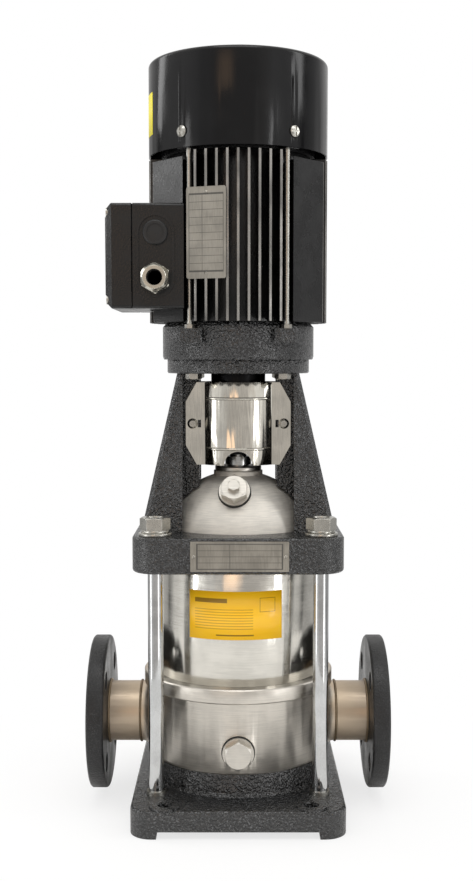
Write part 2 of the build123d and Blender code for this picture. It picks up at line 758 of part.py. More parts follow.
def make_drive_shield():
    """Drive-end shield: motor flange, bearing pocket, register and four lugs."""
    pocket = motor_face + shield_wall
    hub = bearing_outer + seat_gap + 5
    shield = turned((motor_spigot, motor_face - spigot_height), (motor_spigot, motor_face),
                    (shield_radius - 1, motor_face), (shield_radius, motor_face + 3),
                    (shield_radius, shield_top - shield_chamfer), (shield_radius - 3.5, shield_top),
                    (frame_bore - seat_gap, shield_top), (frame_bore - seat_gap, shield_top + 4),
                    (frame_bore - 4, shield_top + 4), (frame_bore - 4, motor_face + 2 * shield_wall),
                    (hub + 2, motor_face + 2 * shield_wall), (hub, pocket + bearing_width + 2),
                    (bearing_outer + seat_gap, pocket + bearing_width + 2), (bearing_outer + seat_gap, pocket),
                    (motor_shaft + 5, pocket), (motor_shaft + 3, motor_face - spigot_height))
    for x, y in four_corners(tie_x, tie_y):
        sx = 1 if x > 0 else -1
        sy = 1 if y > 0 else -1
        lug = Pos(sx * (tie_x - 1), sy * (lug_reach - 12), motor_face + lug_bottom) * extrude(
            RectangleRounded(lug_width, 24, 2), lug_height)
        lug = lug - bar(shield_radius - 4, motor_face, shield_top)
        shield = shield + lug - bar(tie_radius + seat_gap, motor_face + lug_bottom - margin, shield_top, x, y)
    reach = motor_flange_pcd / 2 * cos(radians(45))
    for x, y in four_corners(reach, reach):
        boss = bar(motor_flange_bolt + 4, motor_face + shield_wall, motor_face + 18, x, y)
        shield = shield + boss
        shield = shield - bar(motor_flange_bolt + seat_gap, motor_face - 2 * margin, motor_face + 12, x, y)
    return shield


def panel_prism(bottom, top, grow=0.0):
    """Corner panel at the front right, with its web to the frame barrel."""
    near = (panel_near[0], -panel_near[1])
    far = (panel_far[0], -panel_far[1])
    length = sqrt((far[0] - near[0]) ** 2 + (far[1] - near[1]) ** 2)
    out_x = (far[1] - near[1]) / length * grow
    out_y = -(far[0] - near[0]) / length * grow
    corners = [(near[0] - grow, near[1] * 0.6), (near[0] - grow, near[1] - grow), (near[0] + out_x, near[1] + out_y),
               (far[0] + out_x, far[1] + out_y), (far[0] + grow, far[1] + grow), (far[0] * 0.6, far[1] + grow)]
    if grow == 0:
        corners = [(near[0], near[1] * 0.6), near, far, (far[0] * 0.6, far[1])]
    return prism(corners, bottom, top)


def make_stator_frame():
    """Finned frame: barrel, fins on four sides, smooth corner panels, terminal box pad."""
    barrel = frame_bore + frame_wall
    frame = bar(barrel, shield_top, frame_top)
    fins = []
    for side, count in ((0, front_fins), (90, side_fins), (180, front_fins), (270, side_fins)):
        for i in range(count):
            x = (i - (count - 1) / 2) * fin_pitch
            fin = block(x - fin_thickness / 2, x + fin_thickness / 2, -fin_radius, -frame_bore + 8, shield_top, fins_top)
            fins.append(Rot(0, 0, side) * fin)
    fins = joined(fins[0], fins[1:]) & bar(fin_radius, shield_top, fins_top)
    frame = frame + fins
    panel = panel_prism(shield_top, fins_top - panel_short)
    frame = frame + panel + mirror(panel, Plane.YZ) + mirror(panel, Plane.XZ) + Rot(0, 0, 180) * panel
    pad = block(-panel_far[0], -frame_bore + 5, -panel_far[1], panel_far[1], box_bottom + 3, box_top - 3)
    clear = block(-fin_radius - margin, -panel_far[0], -panel_far[1] - 5, panel_far[1] + 5, box_bottom - 1, box_top + 1)
    frame = frame + pad - clear
    frame = frame - bar(frame_bore, shield_top - margin, frame_top + margin)
    for x, y in tie_corners():
        frame = frame - bar(tie_radius + 2, shield_top - margin, frame_top + margin, x, y)
    return frame


def make_fan_shield():
    """Fan-end shield with bearing pocket, through bolt lugs and cover lugs."""
    pocket = frame_top - 6
    top = frame_top + fan_shield_thickness
    hub = bearing_outer + seat_gap + 5
    shield = turned((frame_bore - 4, frame_top - 4), (frame_bore - seat_gap, frame_top - 4),
                    (frame_bore - seat_gap, frame_top), (fan_shield_radius, frame_top), (fan_shield_radius, top),
                    (hub + 3, top), (hub, pocket + bearing_width + 4), (motor_shaft + 3, pocket + bearing_width + 4),
                    (motor_shaft + 3, pocket + bearing_width + seat_gap),
                    (bearing_outer + seat_gap, pocket + bearing_width + seat_gap), (bearing_outer + seat_gap, pocket),
                    (hub, pocket), (hub, frame_top), (frame_bore - 4, frame_top))
    for angle in cover_screw_angles():
        lug = block(-7, 7, -(cover_radius - cover_sheet - seat_gap), -fan_shield_radius + 6, frame_top,
                    cover_rim + cover_screw_height + 5)
        lug = lug & bar(cover_radius - cover_sheet - seat_gap, frame_top, cover_top)
        hole = Pos(0, -cover_radius, cover_rim + cover_screw_height) * Rot(90, 0, 0) * Cylinder(
            cover_screw + seat_gap, 24)
        shield = shield + Rot(0, 0, angle) * lug - Rot(0, 0, angle) * hole
    for x, y in tie_corners():
        shield = shield - bar(tie_radius + seat_gap, frame_top - 5, frame_top + tie_thread + margin, x, y)
    return shield


def make_tie_bolts():
    """Tie bolts that clamp both shields on the frame, hexagons above the lower lugs."""
    bottom = motor_face + lug_bottom
    nut_top = bottom + lug_height + tie_nut_height
    bolt = bar(tie_radius, bottom + 1, frame_top + tie_thread)
    bolt = bolt + hexagon(tie_nut_flats, bottom + lug_height, nut_top)
    return group([Pos(x, y) * bolt for x, y in tie_corners()])


def cover_screw_angles():
    """Angles of the fan cover screws about the shaft axis, from the front."""
    return [cover_screw_angle, -cover_screw_angle, 180 - cover_screw_angle, 180 + cover_screw_angle]


def cover_solid(radius, top, crown):
    """Cup with a rounded shoulder and a slightly crowned end."""
    shoulder = cover_shoulder - (cover_radius - radius)
    inner = radius - shoulder
    knee = shoulder * cos(radians(45))
    path = Polyline((0, cover_rim), (radius, cover_rim), (radius, top - shoulder))
    path += ThreePointArc((radius, top - shoulder), (inner + knee, top - shoulder + knee), (inner, top))
    path += Polyline((inner, top), (inner * crown_share, top + crown), (0, top + crown), (0, cover_rim))
    return turned_path(path)


def make_fan_cover():
    """Pressed steel fan cover with an air grille of slots in its end."""
    cover = cover_solid(cover_radius, cover_top, cover_crown)
    cover = cover - cover_solid(cover_radius - cover_sheet, cover_top - cover_sheet, cover_crown)
    cover = cover - bar(cover_radius - cover_sheet, cover_rim - margin, cover_rim + margin)
    inner_limit = (cover_radius - cover_shoulder) * crown_share - 2
    slots = []
    for row in range(-grille_rows, grille_rows + 1):
        y = row * grille_pitch
        half = sqrt(max(inner_limit ** 2 - (abs(y) + grille_slot) ** 2, 1.0))
        for side in (-1, 1):
            near = grille_bar / 2 * side
            far = half * side
            slots.append(Pos((near + far) / 2, y, cover_top - 8) * extrude(
                SlotOverall(abs(far - near), 2 * grille_slot), 20))
    for angle in cover_screw_angles():
        hole = Pos(0, -cover_radius, cover_rim + cover_screw_height) * Rot(90, 0, 0) * Cylinder(
            cover_screw + seat_gap, 10)
        slots.append(Rot(0, 0, angle) * hole)
    return cover - slots


def make_cover_screws():
    """Pan-head screws of the fan cover."""
    head = turned((0, 0), (cover_screw_head, 0), (cover_screw_head, 1.2), (cover_screw_head * 0.7, 2.6), (0, 2.9))
    head = head - block(-6, 6, -0.6, 0.6, 1.7, 4) - block(-0.6, 0.6, -6, 6, 1.7, 4)
    screw = head + bar(cover_screw, -9, margin)
    place = facing(0, -cover_radius - 0.05, cover_rim + cover_screw_height, 0, -1, 0)
    return group([Rot(0, 0, angle) * (place * screw) for angle in cover_screw_angles()])


# ---------------------------------------------------------------- terminal box
def frame_envelope(gap):
    """Space that the frame takes beside the terminal box."""
    panel_x = panel_far[0] + gap
    corners = [(-panel_near[0] + 2, -panel_near[1] - gap * 1.6), (-panel_near[0] - gap, -panel_near[1] - gap * 1.6),
               (-panel_x, -panel_far[1] - gap), (-panel_x, panel_far[1] + gap),
               (-panel_near[0] - gap, panel_near[1] + gap), (-panel_near[0] + 2, panel_near[1] + gap)]
    return prism(corners, box_bottom - 30, box_top + 30)


def make_terminal_box():
    """Box body wrapped round the frame corner, with two cable entries at the front."""
    body = block(-box_joint, -box_side_edge, -box_front, box_back, box_bottom, box_top)
    body = fillet(body.edges().filter_by(Axis.X), box_corner / 2)
    cavity = block(-box_joint - margin, -box_side_edge - box_wall, -box_front + box_wall, box_back - box_wall,
                   box_bottom + box_wall, box_top - box_wall)
    cavity = cavity - frame_envelope(loose_gap + box_wall)
    body = body - cavity - frame_envelope(loose_gap)
    body = body - block(-panel_far[0] + 1, 0, 0, box_back + margin, box_bottom - margin, box_top + margin)
    rim_z = (box_bottom + gland_rise + box_bottom + blank_rise) / 2
    rim = Pos(-entry_offset, -box_front, rim_z) * Rot(90, 0, 0) * extrude(
        Rot(0, 0, 90) * SlotOverall(blank_rise - gland_rise + 34, 34), 1.2)
    rim_inner = Pos(-entry_offset, -box_front + margin, rim_z) * Rot(90, 0, 0) * extrude(
        Rot(0, 0, 90) * SlotOverall(blank_rise - gland_rise + 29, 29), 3)
    raised = rim - rim_inner
    pad = Pos(-entry_offset, -box_front + margin, rim_z) * Rot(90, 0, 0) * extrude(
        Rot(0, 0, 90) * SlotOverall(blank_rise - gland_rise + 32, 32), margin)
    body = body + pad + raised
    for rise in (gland_rise, blank_rise):
        hole = Pos(-entry_offset, -box_front, box_bottom + rise) * Rot(90, 0, 0) * Cylinder(
            gland_thread + seat_gap, 12)
        body = body - hole
    for y, z in lid_corners():
        boss = Pos(-box_joint, y, z) * Rot(0, 90, 0) * Cylinder(lid_screw + 3, 12, align=UP)
        hole = Pos(-box_joint - margin, y, z) * Rot(0, 90, 0) * Cylinder(lid_screw + seat_gap, 11, align=UP)
        body = body + boss - hole
    return body


def lid_corners():
    """Lid screw centres as (y, z)."""
    inset = lid_screw_inset
    return [(y, z) for y in (-box_front + inset, box_back - inset) for z in (box_bottom + inset, box_top - inset)]


def lid_solid(inset):
    """Outer or inner form of the lid: a shallow box with bevelled outer edges."""
    start = -box_joint + (margin if inset else 0)
    form = block(-box_reach + inset, start, -box_front + inset, box_back - inset, box_bottom + inset, box_top - inset)
    form = chamfer(form.faces().sort_by(Axis.X)[0].edges(), box_corner)
    if inset:
        return form
    form = fillet(form.edges().filter_by(Axis.X), box_corner / 2)
    return chamfer(form.faces().sort_by(Axis.X)[-1].edges(), lid_groove)


def make_box_lid():
    """Deep lid with bevelled outer edges."""
    lid = lid_solid(0) - lid_solid(box_wall)
    for y, z in lid_corners():
        post = Pos(-box_reach + 4, y, z) * Rot(0, 90, 0) * Cylinder(lid_screw + 3.2, box_reach - box_joint - 4, align=UP)
        lid = lid + post
        hole = Pos(-box_reach - margin, y, z) * Rot(0, 90, 0) * Cylinder(
            lid_screw + seat_gap, box_reach - box_joint + 3, align=UP)
        recess = Pos(-box_reach - margin, y, z) * Rot(0, 90, 0) * Cylinder(lid_screw_head + 0.6, margin + 3.4, align=UP)
        lid = lid - hole - recess
    return lid


def make_lid_screws():
    """Four lid screws, heads sunk in the lid."""
    length = box_reach - box_joint + 5
    screw = bar(lid_screw, 0, length) + bar(lid_screw_head, length - 2.6, length)
    screw = screw - block(-5, 5, -0.5, 0.5, length - 1.2, length + margin)
    screws = []
    for y, z in lid_corners():
        place = facing(-box_reach + 3.4 - 2.6 + length, y, z, -1, 0, 0)
        screws.append(place * screw)
    return group(screws)


def make_terminal_board():
    """Moulded terminal board with six brass studs on the box floor."""
    back = -(panel_far[0] + loose_gap + box_wall)
    mid_y = -3.0
    mid_z = (box_bottom + box_top) / 2
    board = block(back - 6, back, mid_y - 19, mid_y + 19, mid_z - 27, mid_z + 27)
    studs = []
    for i in (-1, 0, 1):
        for j in (-1, 1):
            stud = Pos(back - 6, mid_y + 9 * j, mid_z + 16 * i) * Rot(0, -90, 0) * Cylinder(2.2, 9, align=UP)
            nut = Pos(back - 6, mid_y + 9 * j, mid_z + 16 * i) * Rot(0, -90, 0) * hexagon(7, 0, 3)
            studs.append(stud + nut)
    return group([board] + studs)


def entry_place(rise):
    """Face of a cable entry on the box front."""
    return facing(-entry_offset, -box_front, box_bottom + rise, 0, -1, 0)


def make_cable_gland():
    """Gland body screwed into the box front."""
    gland = hexagon(gland_flats, 0, gland_hex)
    gland = gland + bar(gland_thread, -8, margin) + bar(gland_nut - 2.5, gland_hex - margin, gland_hex + 6)
    gland = gland - bar(gland_bore + 2.2, -9, gland_hex + 7)
    return entry_place(gland_rise) * gland


def make_gland_nut():
    """Domed clamping nut of the gland."""
    low = gland_hex + 0.8
    top = gland_hex + gland_nut_length
    nut = turned((gland_nut - 2.5 + seat_gap, low), (gland_nut + margin, low), (gland_nut + margin, top - 4),
                 (gland_nut - 2, top), (gland_bore + 0.8, top), (gland_bore + 0.8, top - 2.5),
                 (gland_nut - 2.5 + seat_gap, gland_hex + 7))
    flats = extrude(Pos(0, 0, low) * RegularPolygon(gland_nut, 6, major_radius=False), gland_nut_length)
    return entry_place(gland_rise) * (nut & flats)


def make_gland_seal():
    """Rubber ring inside the gland."""
    ring = tube(gland_bore + 2.2 - seat_gap, gland_bore, -4, gland_hex + 7)
    return entry_place(gland_rise) * ring


def make_blanking_plug():
    """Moulded plug in the spare cable entry."""
    plug = turned((0, 0), (blank_radius, 0), (blank_radius, blank_thickness - 1.2),
                  (blank_radius - 1.2, blank_thickness), (0, blank_thickness))
    plug = plug - bar(blank_radius - 3.5, blank_thickness - 0.8, blank_thickness + margin)
    plug = plug + bar(gland_thread, -7, margin) - bar(gland_thread - 2, -8, -1)
    return entry_place(blank_rise) * plug


# ---------------------------------------------------------------- motor inner parts
core_bottom = (shield_top + frame_top - core_length) / 2
core_top = core_bottom + core_length
core_inside = rotor_radius + air_gap
drive_bearing = motor_face + shield_wall
fan_bearing = frame_top - 6


def slot_cut(width, inner, outer, bottom, top):
    """Radial slot that starts inside a bore."""
    return block(inner, outer, -width / 2, width / 2, bottom, top)


def make_stator_core():
    """Laminated stator core with open slots."""
    core = tube(frame_bore - press_gap, core_inside, core_bottom, core_top)
    slot = slot_cut(4.6, core_inside + 1.6, core_inside + core_slot_depth, core_bottom - margin, core_top + margin)
    mouth = slot_cut(2.0, core_inside - margin, core_inside + 3, core_bottom - margin, core_top + margin)
    for cut in around(slot + mouth, core_slots):
        core = core - cut
    return core


def make_stator_windings():
    """Coil sides in the slots and the two end windings."""
    inner = core_inside + 2.2
    outer = core_inside + core_slot_depth - 0.4
    low = core_bottom - end_winding
    high = core_top + end_winding
    head = turned((inner, high), (inner + 1, high - end_winding + 0.4), (outer + 3, high - end_winding + 0.4),
                  (outer + 4, high - 4), (outer, high))
    foot = turned((inner, low), (outer, low), (outer + 4, low + 4), (outer + 3, core_bottom - 0.4),
                  (inner + 1, core_bottom - 0.4))
    side = slot_cut(3.8, inner + 1.2, outer, core_bottom - margin, core_top + margin)
    return joined(head + foot, around(side, core_slots))


def make_bearing_outers(balls=False):
    """Outer rings, or the balls, of both motor bearings."""
    solids = []
    groove = bearing_outer - bearing_ring
    race = bearing_inner + bearing_ring
    ball = (groove - race) / 2 - run_gap
    for low in (drive_bearing, fan_bearing):
        if balls:
            one = Pos((groove + race) / 2, 0, low + bearing_width / 2) * Sphere(ball)
            solids += around(one, bearing_balls)
        else:
            solids.append(tube(bearing_outer, groove, low, low + bearing_width))
    return group(solids)


def make_bearing_inners():
    """Inner rings of both motor bearings, on the shaft."""
    return group([tube(bearing_inner + bearing_ring, bearing_inner + press_gap, low, low + bearing_width)
                  for low in (drive_bearing, fan_bearing)])


fan_seat = frame_top + 26
fan_top = fan_seat + fan_blade_height + 4


def make_motor_shaft():
    """Motor shaft: keyed extension, bearing seats, core seat and fan seat."""
    core_seat = 14.0
    shaft = turned((0, motor_shaft_end), (motor_shaft - 1, motor_shaft_end), (motor_shaft, motor_shaft_end + 1),
                   (motor_shaft, drive_bearing), (bearing_inner, drive_bearing),
                   (bearing_inner, drive_bearing + bearing_width),
                   (core_seat, drive_bearing + bearing_width + 0.3), (core_seat, fan_bearing - 0.3),
                   (bearing_inner, fan_bearing), (bearing_inner, fan_bearing + bearing_width + 2),
                   (motor_shaft - 1, fan_bearing + bearing_width + 2), (motor_shaft - 1, fan_top), (0, fan_top))
    keyway = block(-key_width / 2, key_width / 2, motor_shaft - key_depth, motor_shaft + margin,
                   motor_shaft_end + 4, motor_face - 8)
    return shaft - keyway


def make_rotor_core():
    """Cage rotor with cast end rings and cooling fins."""
    bore = 14.0 + press_gap
    core = tube(rotor_radius, bore, core_bottom + 2, core_top - 2)
    rings = [tube(rotor_radius - 1, rotor_radius - 9, core_bottom - 6, core_bottom + 3),
             tube(rotor_radius - 1, rotor_radius - 9, core_top - 3, core_top + 6)]
    core = joined(core, rings)
    fin = block(rotor_radius - 8, rotor_radius - 2, -1, 1, core_bottom - 11, core_bottom - 5)
    core = joined(core, around(fin, 12))
    fin = block(rotor_radius - 8, rotor_radius - 2, -1, 1, core_top + 5, core_top + 11)
    return joined(core, around(fin, 12, 15))


def make_cooling_fan():
    """Radial-blade fan on the upper shaft end."""
    bore = motor_shaft - 1 + press_gap
    fan = turned((bore, fan_seat), (fan_hub, fan_seat), (fan_hub + 2, fan_seat + 4), (fan_radius, fan_seat + 4),
                 (fan_radius, fan_seat + 6.5), (fan_hub + 1, fan_seat + 6.5), (fan_hub, fan_top - 4), (bore, fan_top - 4))
    blade = block(fan_hub - 2, fan_radius - 1, -1.1, 1.1, fan_seat + 5, fan_seat + 5 + fan_blade_height)
    slope = turned((fan_hub + 8, fan_seat + 5 + fan_blade_height + margin), (fan_radius, fan_seat + fan_blade_height - 2),
                   (fan_radius + margin, fan_seat + 5 + fan_blade_height + margin))
    fan = joined(fan, [part - slope for part in around(blade, fan_blades)])
    return fan - bar(bore, fan_seat - margin, fan_top + 10)


# ---------------------------------------------------------------- coupling
def make_coupling_half(front):
    """One half of the clamp coupling."""
    sign = -1 if front else 1
    half = bar(coupling_radius, coupling_bottom, coupling_top)
    half = chamfer(half.edges(), 1.5)
    keep = block(-coupling_radius - margin, coupling_radius + margin, min(sign * coupling_split, sign * 40),
                 max(sign * coupling_split, sign * 40), coupling_bottom - margin, coupling_top + margin)
    half = half & keep
    half = half - bar(motor_shaft + press_gap, motor_shaft_end - 2, coupling_top + margin)
    half = half - bar(pump_shaft + press_gap, coupling_bottom - margin, motor_shaft_end)
    if not front:
        half = half - block(-key_width / 2, key_width / 2, 0, motor_shaft + 3, motor_shaft_end - 2, coupling_top + margin)
    for x in (-coupling_screw_reach, coupling_screw_reach):
        for z in coupling_screw_heights():
            hole = Pos(x, 0, z) * Rot(90, 0, 0) * Cylinder(coupling_screw + seat_gap, 2 * coupling_screw_depth + 4)
            half = half - hole
            if front:
                recess = Pos(x, -coupling_screw_depth, z) * Rot(90, 0, 0) * Cylinder(
                    coupling_screw_head + 0.8, 20, align=UP)
                half = half - recess
    pin = Pos(0, 0, pin_height()) * Rot(0, 90, 0) * Cylinder(coupling_pin + seat_gap, 2 * coupling_pin_half + 2)
    waist = turned((coupling_radius - 3, coupling_bottom + 30), (coupling_radius + 2, coupling_bottom + 27),
                   (coupling_radius + 2, coupling_top - 27), (coupling_radius - 3, coupling_top - 30))
    return half - pin - waist


def coupling_screw_heights():
    """Heights of the clamp screws."""
    return (coupling_bottom + coupling_screw_inset, coupling_top - coupling_screw_inset)


def pin_height():
    """Height of the cross pin in the pump shaft."""
    return coupling_bottom + 6


def make_coupling_fasteners():
    """Socket-head clamp screws and the cross pin that lifts the pump shaft."""
    head = bar(coupling_screw_head, 0, 8) - extrude(Pos(0, 0, 4) * RegularPolygon(3.4, 6), 6)
    screw = head + bar(coupling_screw, -2 * coupling_screw_depth, margin)
    pin = Pos(0, 0, pin_height()) * Rot(0, 90, 0) * Cylinder(coupling_pin, 2 * coupling_pin_half)
    return group([Pos(x, -coupling_screw_depth, z) * Rot(90, 0, 0) * screw
                  for x in (-coupling_screw_reach, coupling_screw_reach) for z in coupling_screw_heights()] + [pin])


# ---------------------------------------------------------------- hydraulic parts
nut_height = 8.0
impeller_low = 1.5        # hub foot above each stage floor
hub_length = 18.0
shaft_foot = stack_floor + impeller_low - nut_height - 2


def stage_floor(stage):
    """Height of a stage's floor."""
    return stack_floor + stage * stage_pitch


def make_suction_bowl():
    """Inner bowl that leads the inlet to the first impeller's eye."""
    low = casing_floor + casing_wall
    bowl = turned((0, low), (bowl_radius - 10, low), (bowl_radius, low + 10), (bowl_radius, stack_bottom),
                  (bowl_radius - bowl_wall, stack_bottom), (bowl_radius - bowl_wall, low + 10 + bowl_wall / 2),
                  (bowl_radius - 10 - bowl_wall / 2, low + bowl_wall), (0, low + bowl_wall))
    reach = casing_radius - casing_wall - loose_gap
    duct = Pos(0, 0, bowl_radius - 20) * Cylinder(port_bore + duct_wall, reach - bowl_radius + 20, align=UP)
    duct = Rot(0, 0, 180) * on_port(duct) & bar(reach, low, stack_bottom)
    duct = duct - bar(bowl_radius - bowl_wall, low, stack_bottom + margin)
    way = Rot(0, 0, 180) * on_port(Pos(0, 0, bowl_radius - 25) * Cylinder(port_bore, 60, align=UP))
    return bowl + duct - way


def make_suction_cover():
    """Plate between the bowl and the first stage, with a collar round the eye."""
    eye = impeller_eye + 2 * stage_sheet + seat_gap
    return turned((eye, stack_bottom), (stage_radius, stack_bottom), (stage_radius, stack_floor),
                  (eye + 3, stack_floor), (eye, stack_floor - 1))


def make_stage_chamber(stage):
    """Pressed chamber: side wall, diffuser disc, curved return vanes and top plate."""
    low = stage_floor(stage)
    high = low + stage_pitch
    eye = impeller_eye + 2 * stage_sheet + seat_gap
    chamber = tube(stage_radius, stage_radius - stage_sheet, low, high)
    chamber = chamber + tube(stage_radius - stage_sheet / 2, eye, high - stage_sheet, high)
    disc_top = high - stage_sheet - return_height
    disc_edge = stage_radius - 8
    disc = tube(disc_edge, impeller_hub + 4, disc_top - stage_sheet, disc_top)
    inner = impeller_hub + 8
    vane_line = ThreePointArc((inner, 0), ((inner + disc_edge) / 2, 9), (disc_edge - 2, 30))
    vane = extrude(Pos(0, 0, disc_top - stage_sheet / 2) * trace(vane_line, stage_sheet), return_height + stage_sheet)
    vane = vane & bar(stage_radius - stage_sheet / 2, low, high)
    return joined(chamber + disc, around(vane, return_vanes))


def make_outlet_plate():
    """Top plate of the stack with outlet windows and the hub of the guide bush."""
    high = stack_top + cover_plate + 1
    hub = sleeve_ring + run_gap + bush_wall + seat_gap
    plate = tube(stage_radius, hub, stack_top, high) + tube(hub + 4, hub, stack_top, high + 8)
    window = block(hub + 9, stage_radius - 12, -11, 11, stack_top - margin, high + margin)
    window = fillet(window.edges().filter_by(Axis.Z), 4)
    for cut in around(window, 6):
        plate = plate - cut
    return plate


def make_guide_bush():
    """Ceramic guide bush of the pump shaft."""
    inner = sleeve_ring + run_gap
    return tube(inner + bush_wall, inner, stack_top, stack_top + cover_plate + 9)


def make_stage_straps():
    """Bent straps that hold the stack together."""
    outer = stage_radius + loose_gap + strap_sheet
    low = stack_bottom - strap_sheet
    high = stack_top + cover_plate + 1 + strap_sheet
    strap = block(outer - strap_sheet, outer, -strap_width / 2, strap_width / 2, low, high)
    strap = strap + block(outer - 8, outer, -strap_width / 2, strap_width / 2, low, low + strap_sheet)
    strap = strap + block(outer - 8, outer, -strap_width / 2, strap_width / 2, high - strap_sheet, high)
    return group(around(strap, strap_count, 45))


def make_impeller(stage):
    """Closed impeller: hub disc, front shroud with eye ring, backward curved vanes."""
    low = stage_floor(stage) + impeller_low
    bore = pump_shaft + press_gap
    tip = low + 5
    back = tip + impeller_width
    disc = turned((bore, low), (impeller_hub, low), (impeller_hub + 3, back - 2), (impeller_radius, back),
                  (impeller_radius, back + stage_sheet), (impeller_hub + 4, back + stage_sheet),
                  (impeller_hub, back + 3), (impeller_hub, low + hub_length), (bore, low + hub_length))
    shroud = turned((impeller_eye, low - 2.2), (impeller_eye + stage_sheet, low - 2.2),
                    (impeller_eye + stage_sheet, low + 0.6), (impeller_radius, tip - stage_sheet),
                    (impeller_radius, tip), (impeller_eye + 1, low + 2), (impeller_eye, low + 1))
    vane_line = ThreePointArc((impeller_eye - 2, 0), (impeller_radius * 0.62, 14), (impeller_radius * 0.6, 44))
    vane = extrude(Pos(0, 0, low) * trace(vane_line, stage_sheet), impeller_width + 6)
    space = turned((impeller_hub, low + 1.2), (impeller_eye, low + 1.2), (impeller_radius, tip - stage_sheet / 2),
                   (impeller_radius, back + stage_sheet / 2), (impeller_hub + 2, back - 1))
    vanes = [part & space for part in around(vane, impeller_vanes)]
    return joined(disc + shroud, vanes)


def make_spacers():
    """Shaft nut, spacer between the impellers, running sleeve in the bush and its stop ring."""
    bore = pump_shaft + press_gap
    low = stack_floor + impeller_low - nut_height
    nut = Pos(0, 0, low + nut_height) * Rot(180, 0, 0) * hexagon(19, 0, nut_height)
    solids = [nut - bar(bore, low - margin, low + nut_height + margin)]
    for stage in range(stage_count):
        low = stage_floor(stage) + impeller_low + hub_length
        high = stage_floor(stage + 1) + impeller_low
        if stage == stage_count - 1:
            high = stack_top + cover_plate + 14
        solids.append(tube(sleeve_ring, bore, low, high))
    high = stack_top + cover_plate + 14
    solids.append(tube(sleeve_ring + 1.5, bore, high, high + 3))
    return group(solids)


def make_pump_shaft():
    """Pump shaft, chamfered at both ends and cross-drilled for the pin."""
    shaft = turned((0, shaft_foot), (pump_shaft - 1, shaft_foot), (pump_shaft, shaft_foot + 1),
                   (pump_shaft, pump_shaft_end - 1), (pump_shaft - 1, pump_shaft_end), (0, pump_shaft_end))
    hole = Pos(0, 0, pin_height()) * Rot(0, 90, 0) * Cylinder(coupling_pin + press_gap, 3 * pump_shaft)
    return shaft - hole


# ---------------------------------------------------------------- shaft seal
seal_seat_top = dome_top + 0.5 - seal_hub_length + 4
seal_face = seal_seat_top - 5


def make_seal_cover():
    """Round cover that holds the stationary seal ring in the head."""
    low = dome_top + 0.5
    bore = seal_sleeve + 0.6
    return turned((bore, seal_seat_top), (seal_sleeve + seal_seat_wall + 2, seal_seat_top),
                  (seal_sleeve + seal_seat_wall + 2, low - seal_hub_length), (seal_hub, low - seal_hub_length),
                  (seal_hub, low), (seal_cover_radius, low), (seal_cover_radius, low + seal_cover_thickness - 0.8),
                  (seal_cover_radius - 0.8, low + seal_cover_thickness), (bore, low + seal_cover_thickness))


def make_seal_seat():
    """Stationary seal ring."""
    return tube(seal_sleeve + seal_seat_wall + 2 - seat_gap, seal_sleeve + 1, seal_face, seal_seat_top)


def make_seal_head():
    """Rotating seal ring, its spring housing and the drive sleeve with its collar."""
    collar_low = dome_top + 0.5 + seal_cover_thickness + 1
    sleeve_low = seal_face - 24
    sleeve = turned((pump_shaft + press_gap, sleeve_low), (seal_sleeve, sleeve_low), (seal_sleeve, collar_low),
                    (seal_collar, collar_low), (seal_collar, collar_low + seal_collar_height),
                    (pump_shaft + press_gap, collar_low + seal_collar_height))
    for screw in around(Pos(seal_collar, 0, collar_low + seal_collar_height / 2) * Rot(0, 90, 0) * Cylinder(2, 3), 3, 30):
        sleeve = sleeve - screw
    ring = tube(seal_sleeve + seal_seat_wall, seal_sleeve + press_gap, seal_face - face_gap - 5, seal_face - face_gap)
    housing = tube(seal_sleeve + seal_seat_wall + 1, seal_sleeve + press_gap, sleeve_low, seal_face - face_gap - 5)
    return group([sleeve, ring, housing])


# ---------------------------------------------------------------- rating plates
def make_motor_plate():
    """Bare metal plate on the front fins, with its rivets."""
    low = motor_face + motor_plate_rise
    plate = extrude(RectangleRounded(motor_plate_width, motor_plate_height, 2), plate_sheet)
    for y in (-motor_plate_height / 2 + 5, motor_plate_height / 2 - 5):
        plate = plate + Pos(0, y, plate_sheet) * turned((0, -0.4), (rivet_radius, -0.4), (rivet_radius, 0.3),
                                                        (0.8, 0.9), (0, 0.9))
    place = facing(0, -(fin_radius + press_gap), low + motor_plate_height / 2, 0, -1, 0)
    return Rot(0, 0, -motor_plate_angle) * (place * (Rot(0, 0, plate_roll()) * plate))


def plate_roll():
    """Turn that brings a plate's height upright on a front-facing plane."""
    x_dir = Plane(origin=(0, 0, 0), z_dir=(0, -1, 0)).x_dir
    return -degrees(atan2(x_dir.Z, x_dir.X))


def make_head_nameplate():
    """Bare metal plate on the head plate front, with its rivets."""
    plate = extrude(RectangleRounded(head_plate_width, head_plate_height, 1), plate_sheet)
    for x in (-head_plate_width / 2 + 3, head_plate_width / 2 - 3):
        plate = plate + Pos(x, 0, plate_sheet) * turned((0, -0.4), (rivet_radius, -0.4), (rivet_radius, 0.3),
                                                        (0.8, 0.9), (0, 0.9))
    middle = (plate_top + plate_bottom) / 2 + 0.2
    place = facing(head_plate_offset, -plate_half, middle, 0, -1, 0)
    return place * (Rot(0, 0, plate_roll()) * plate)


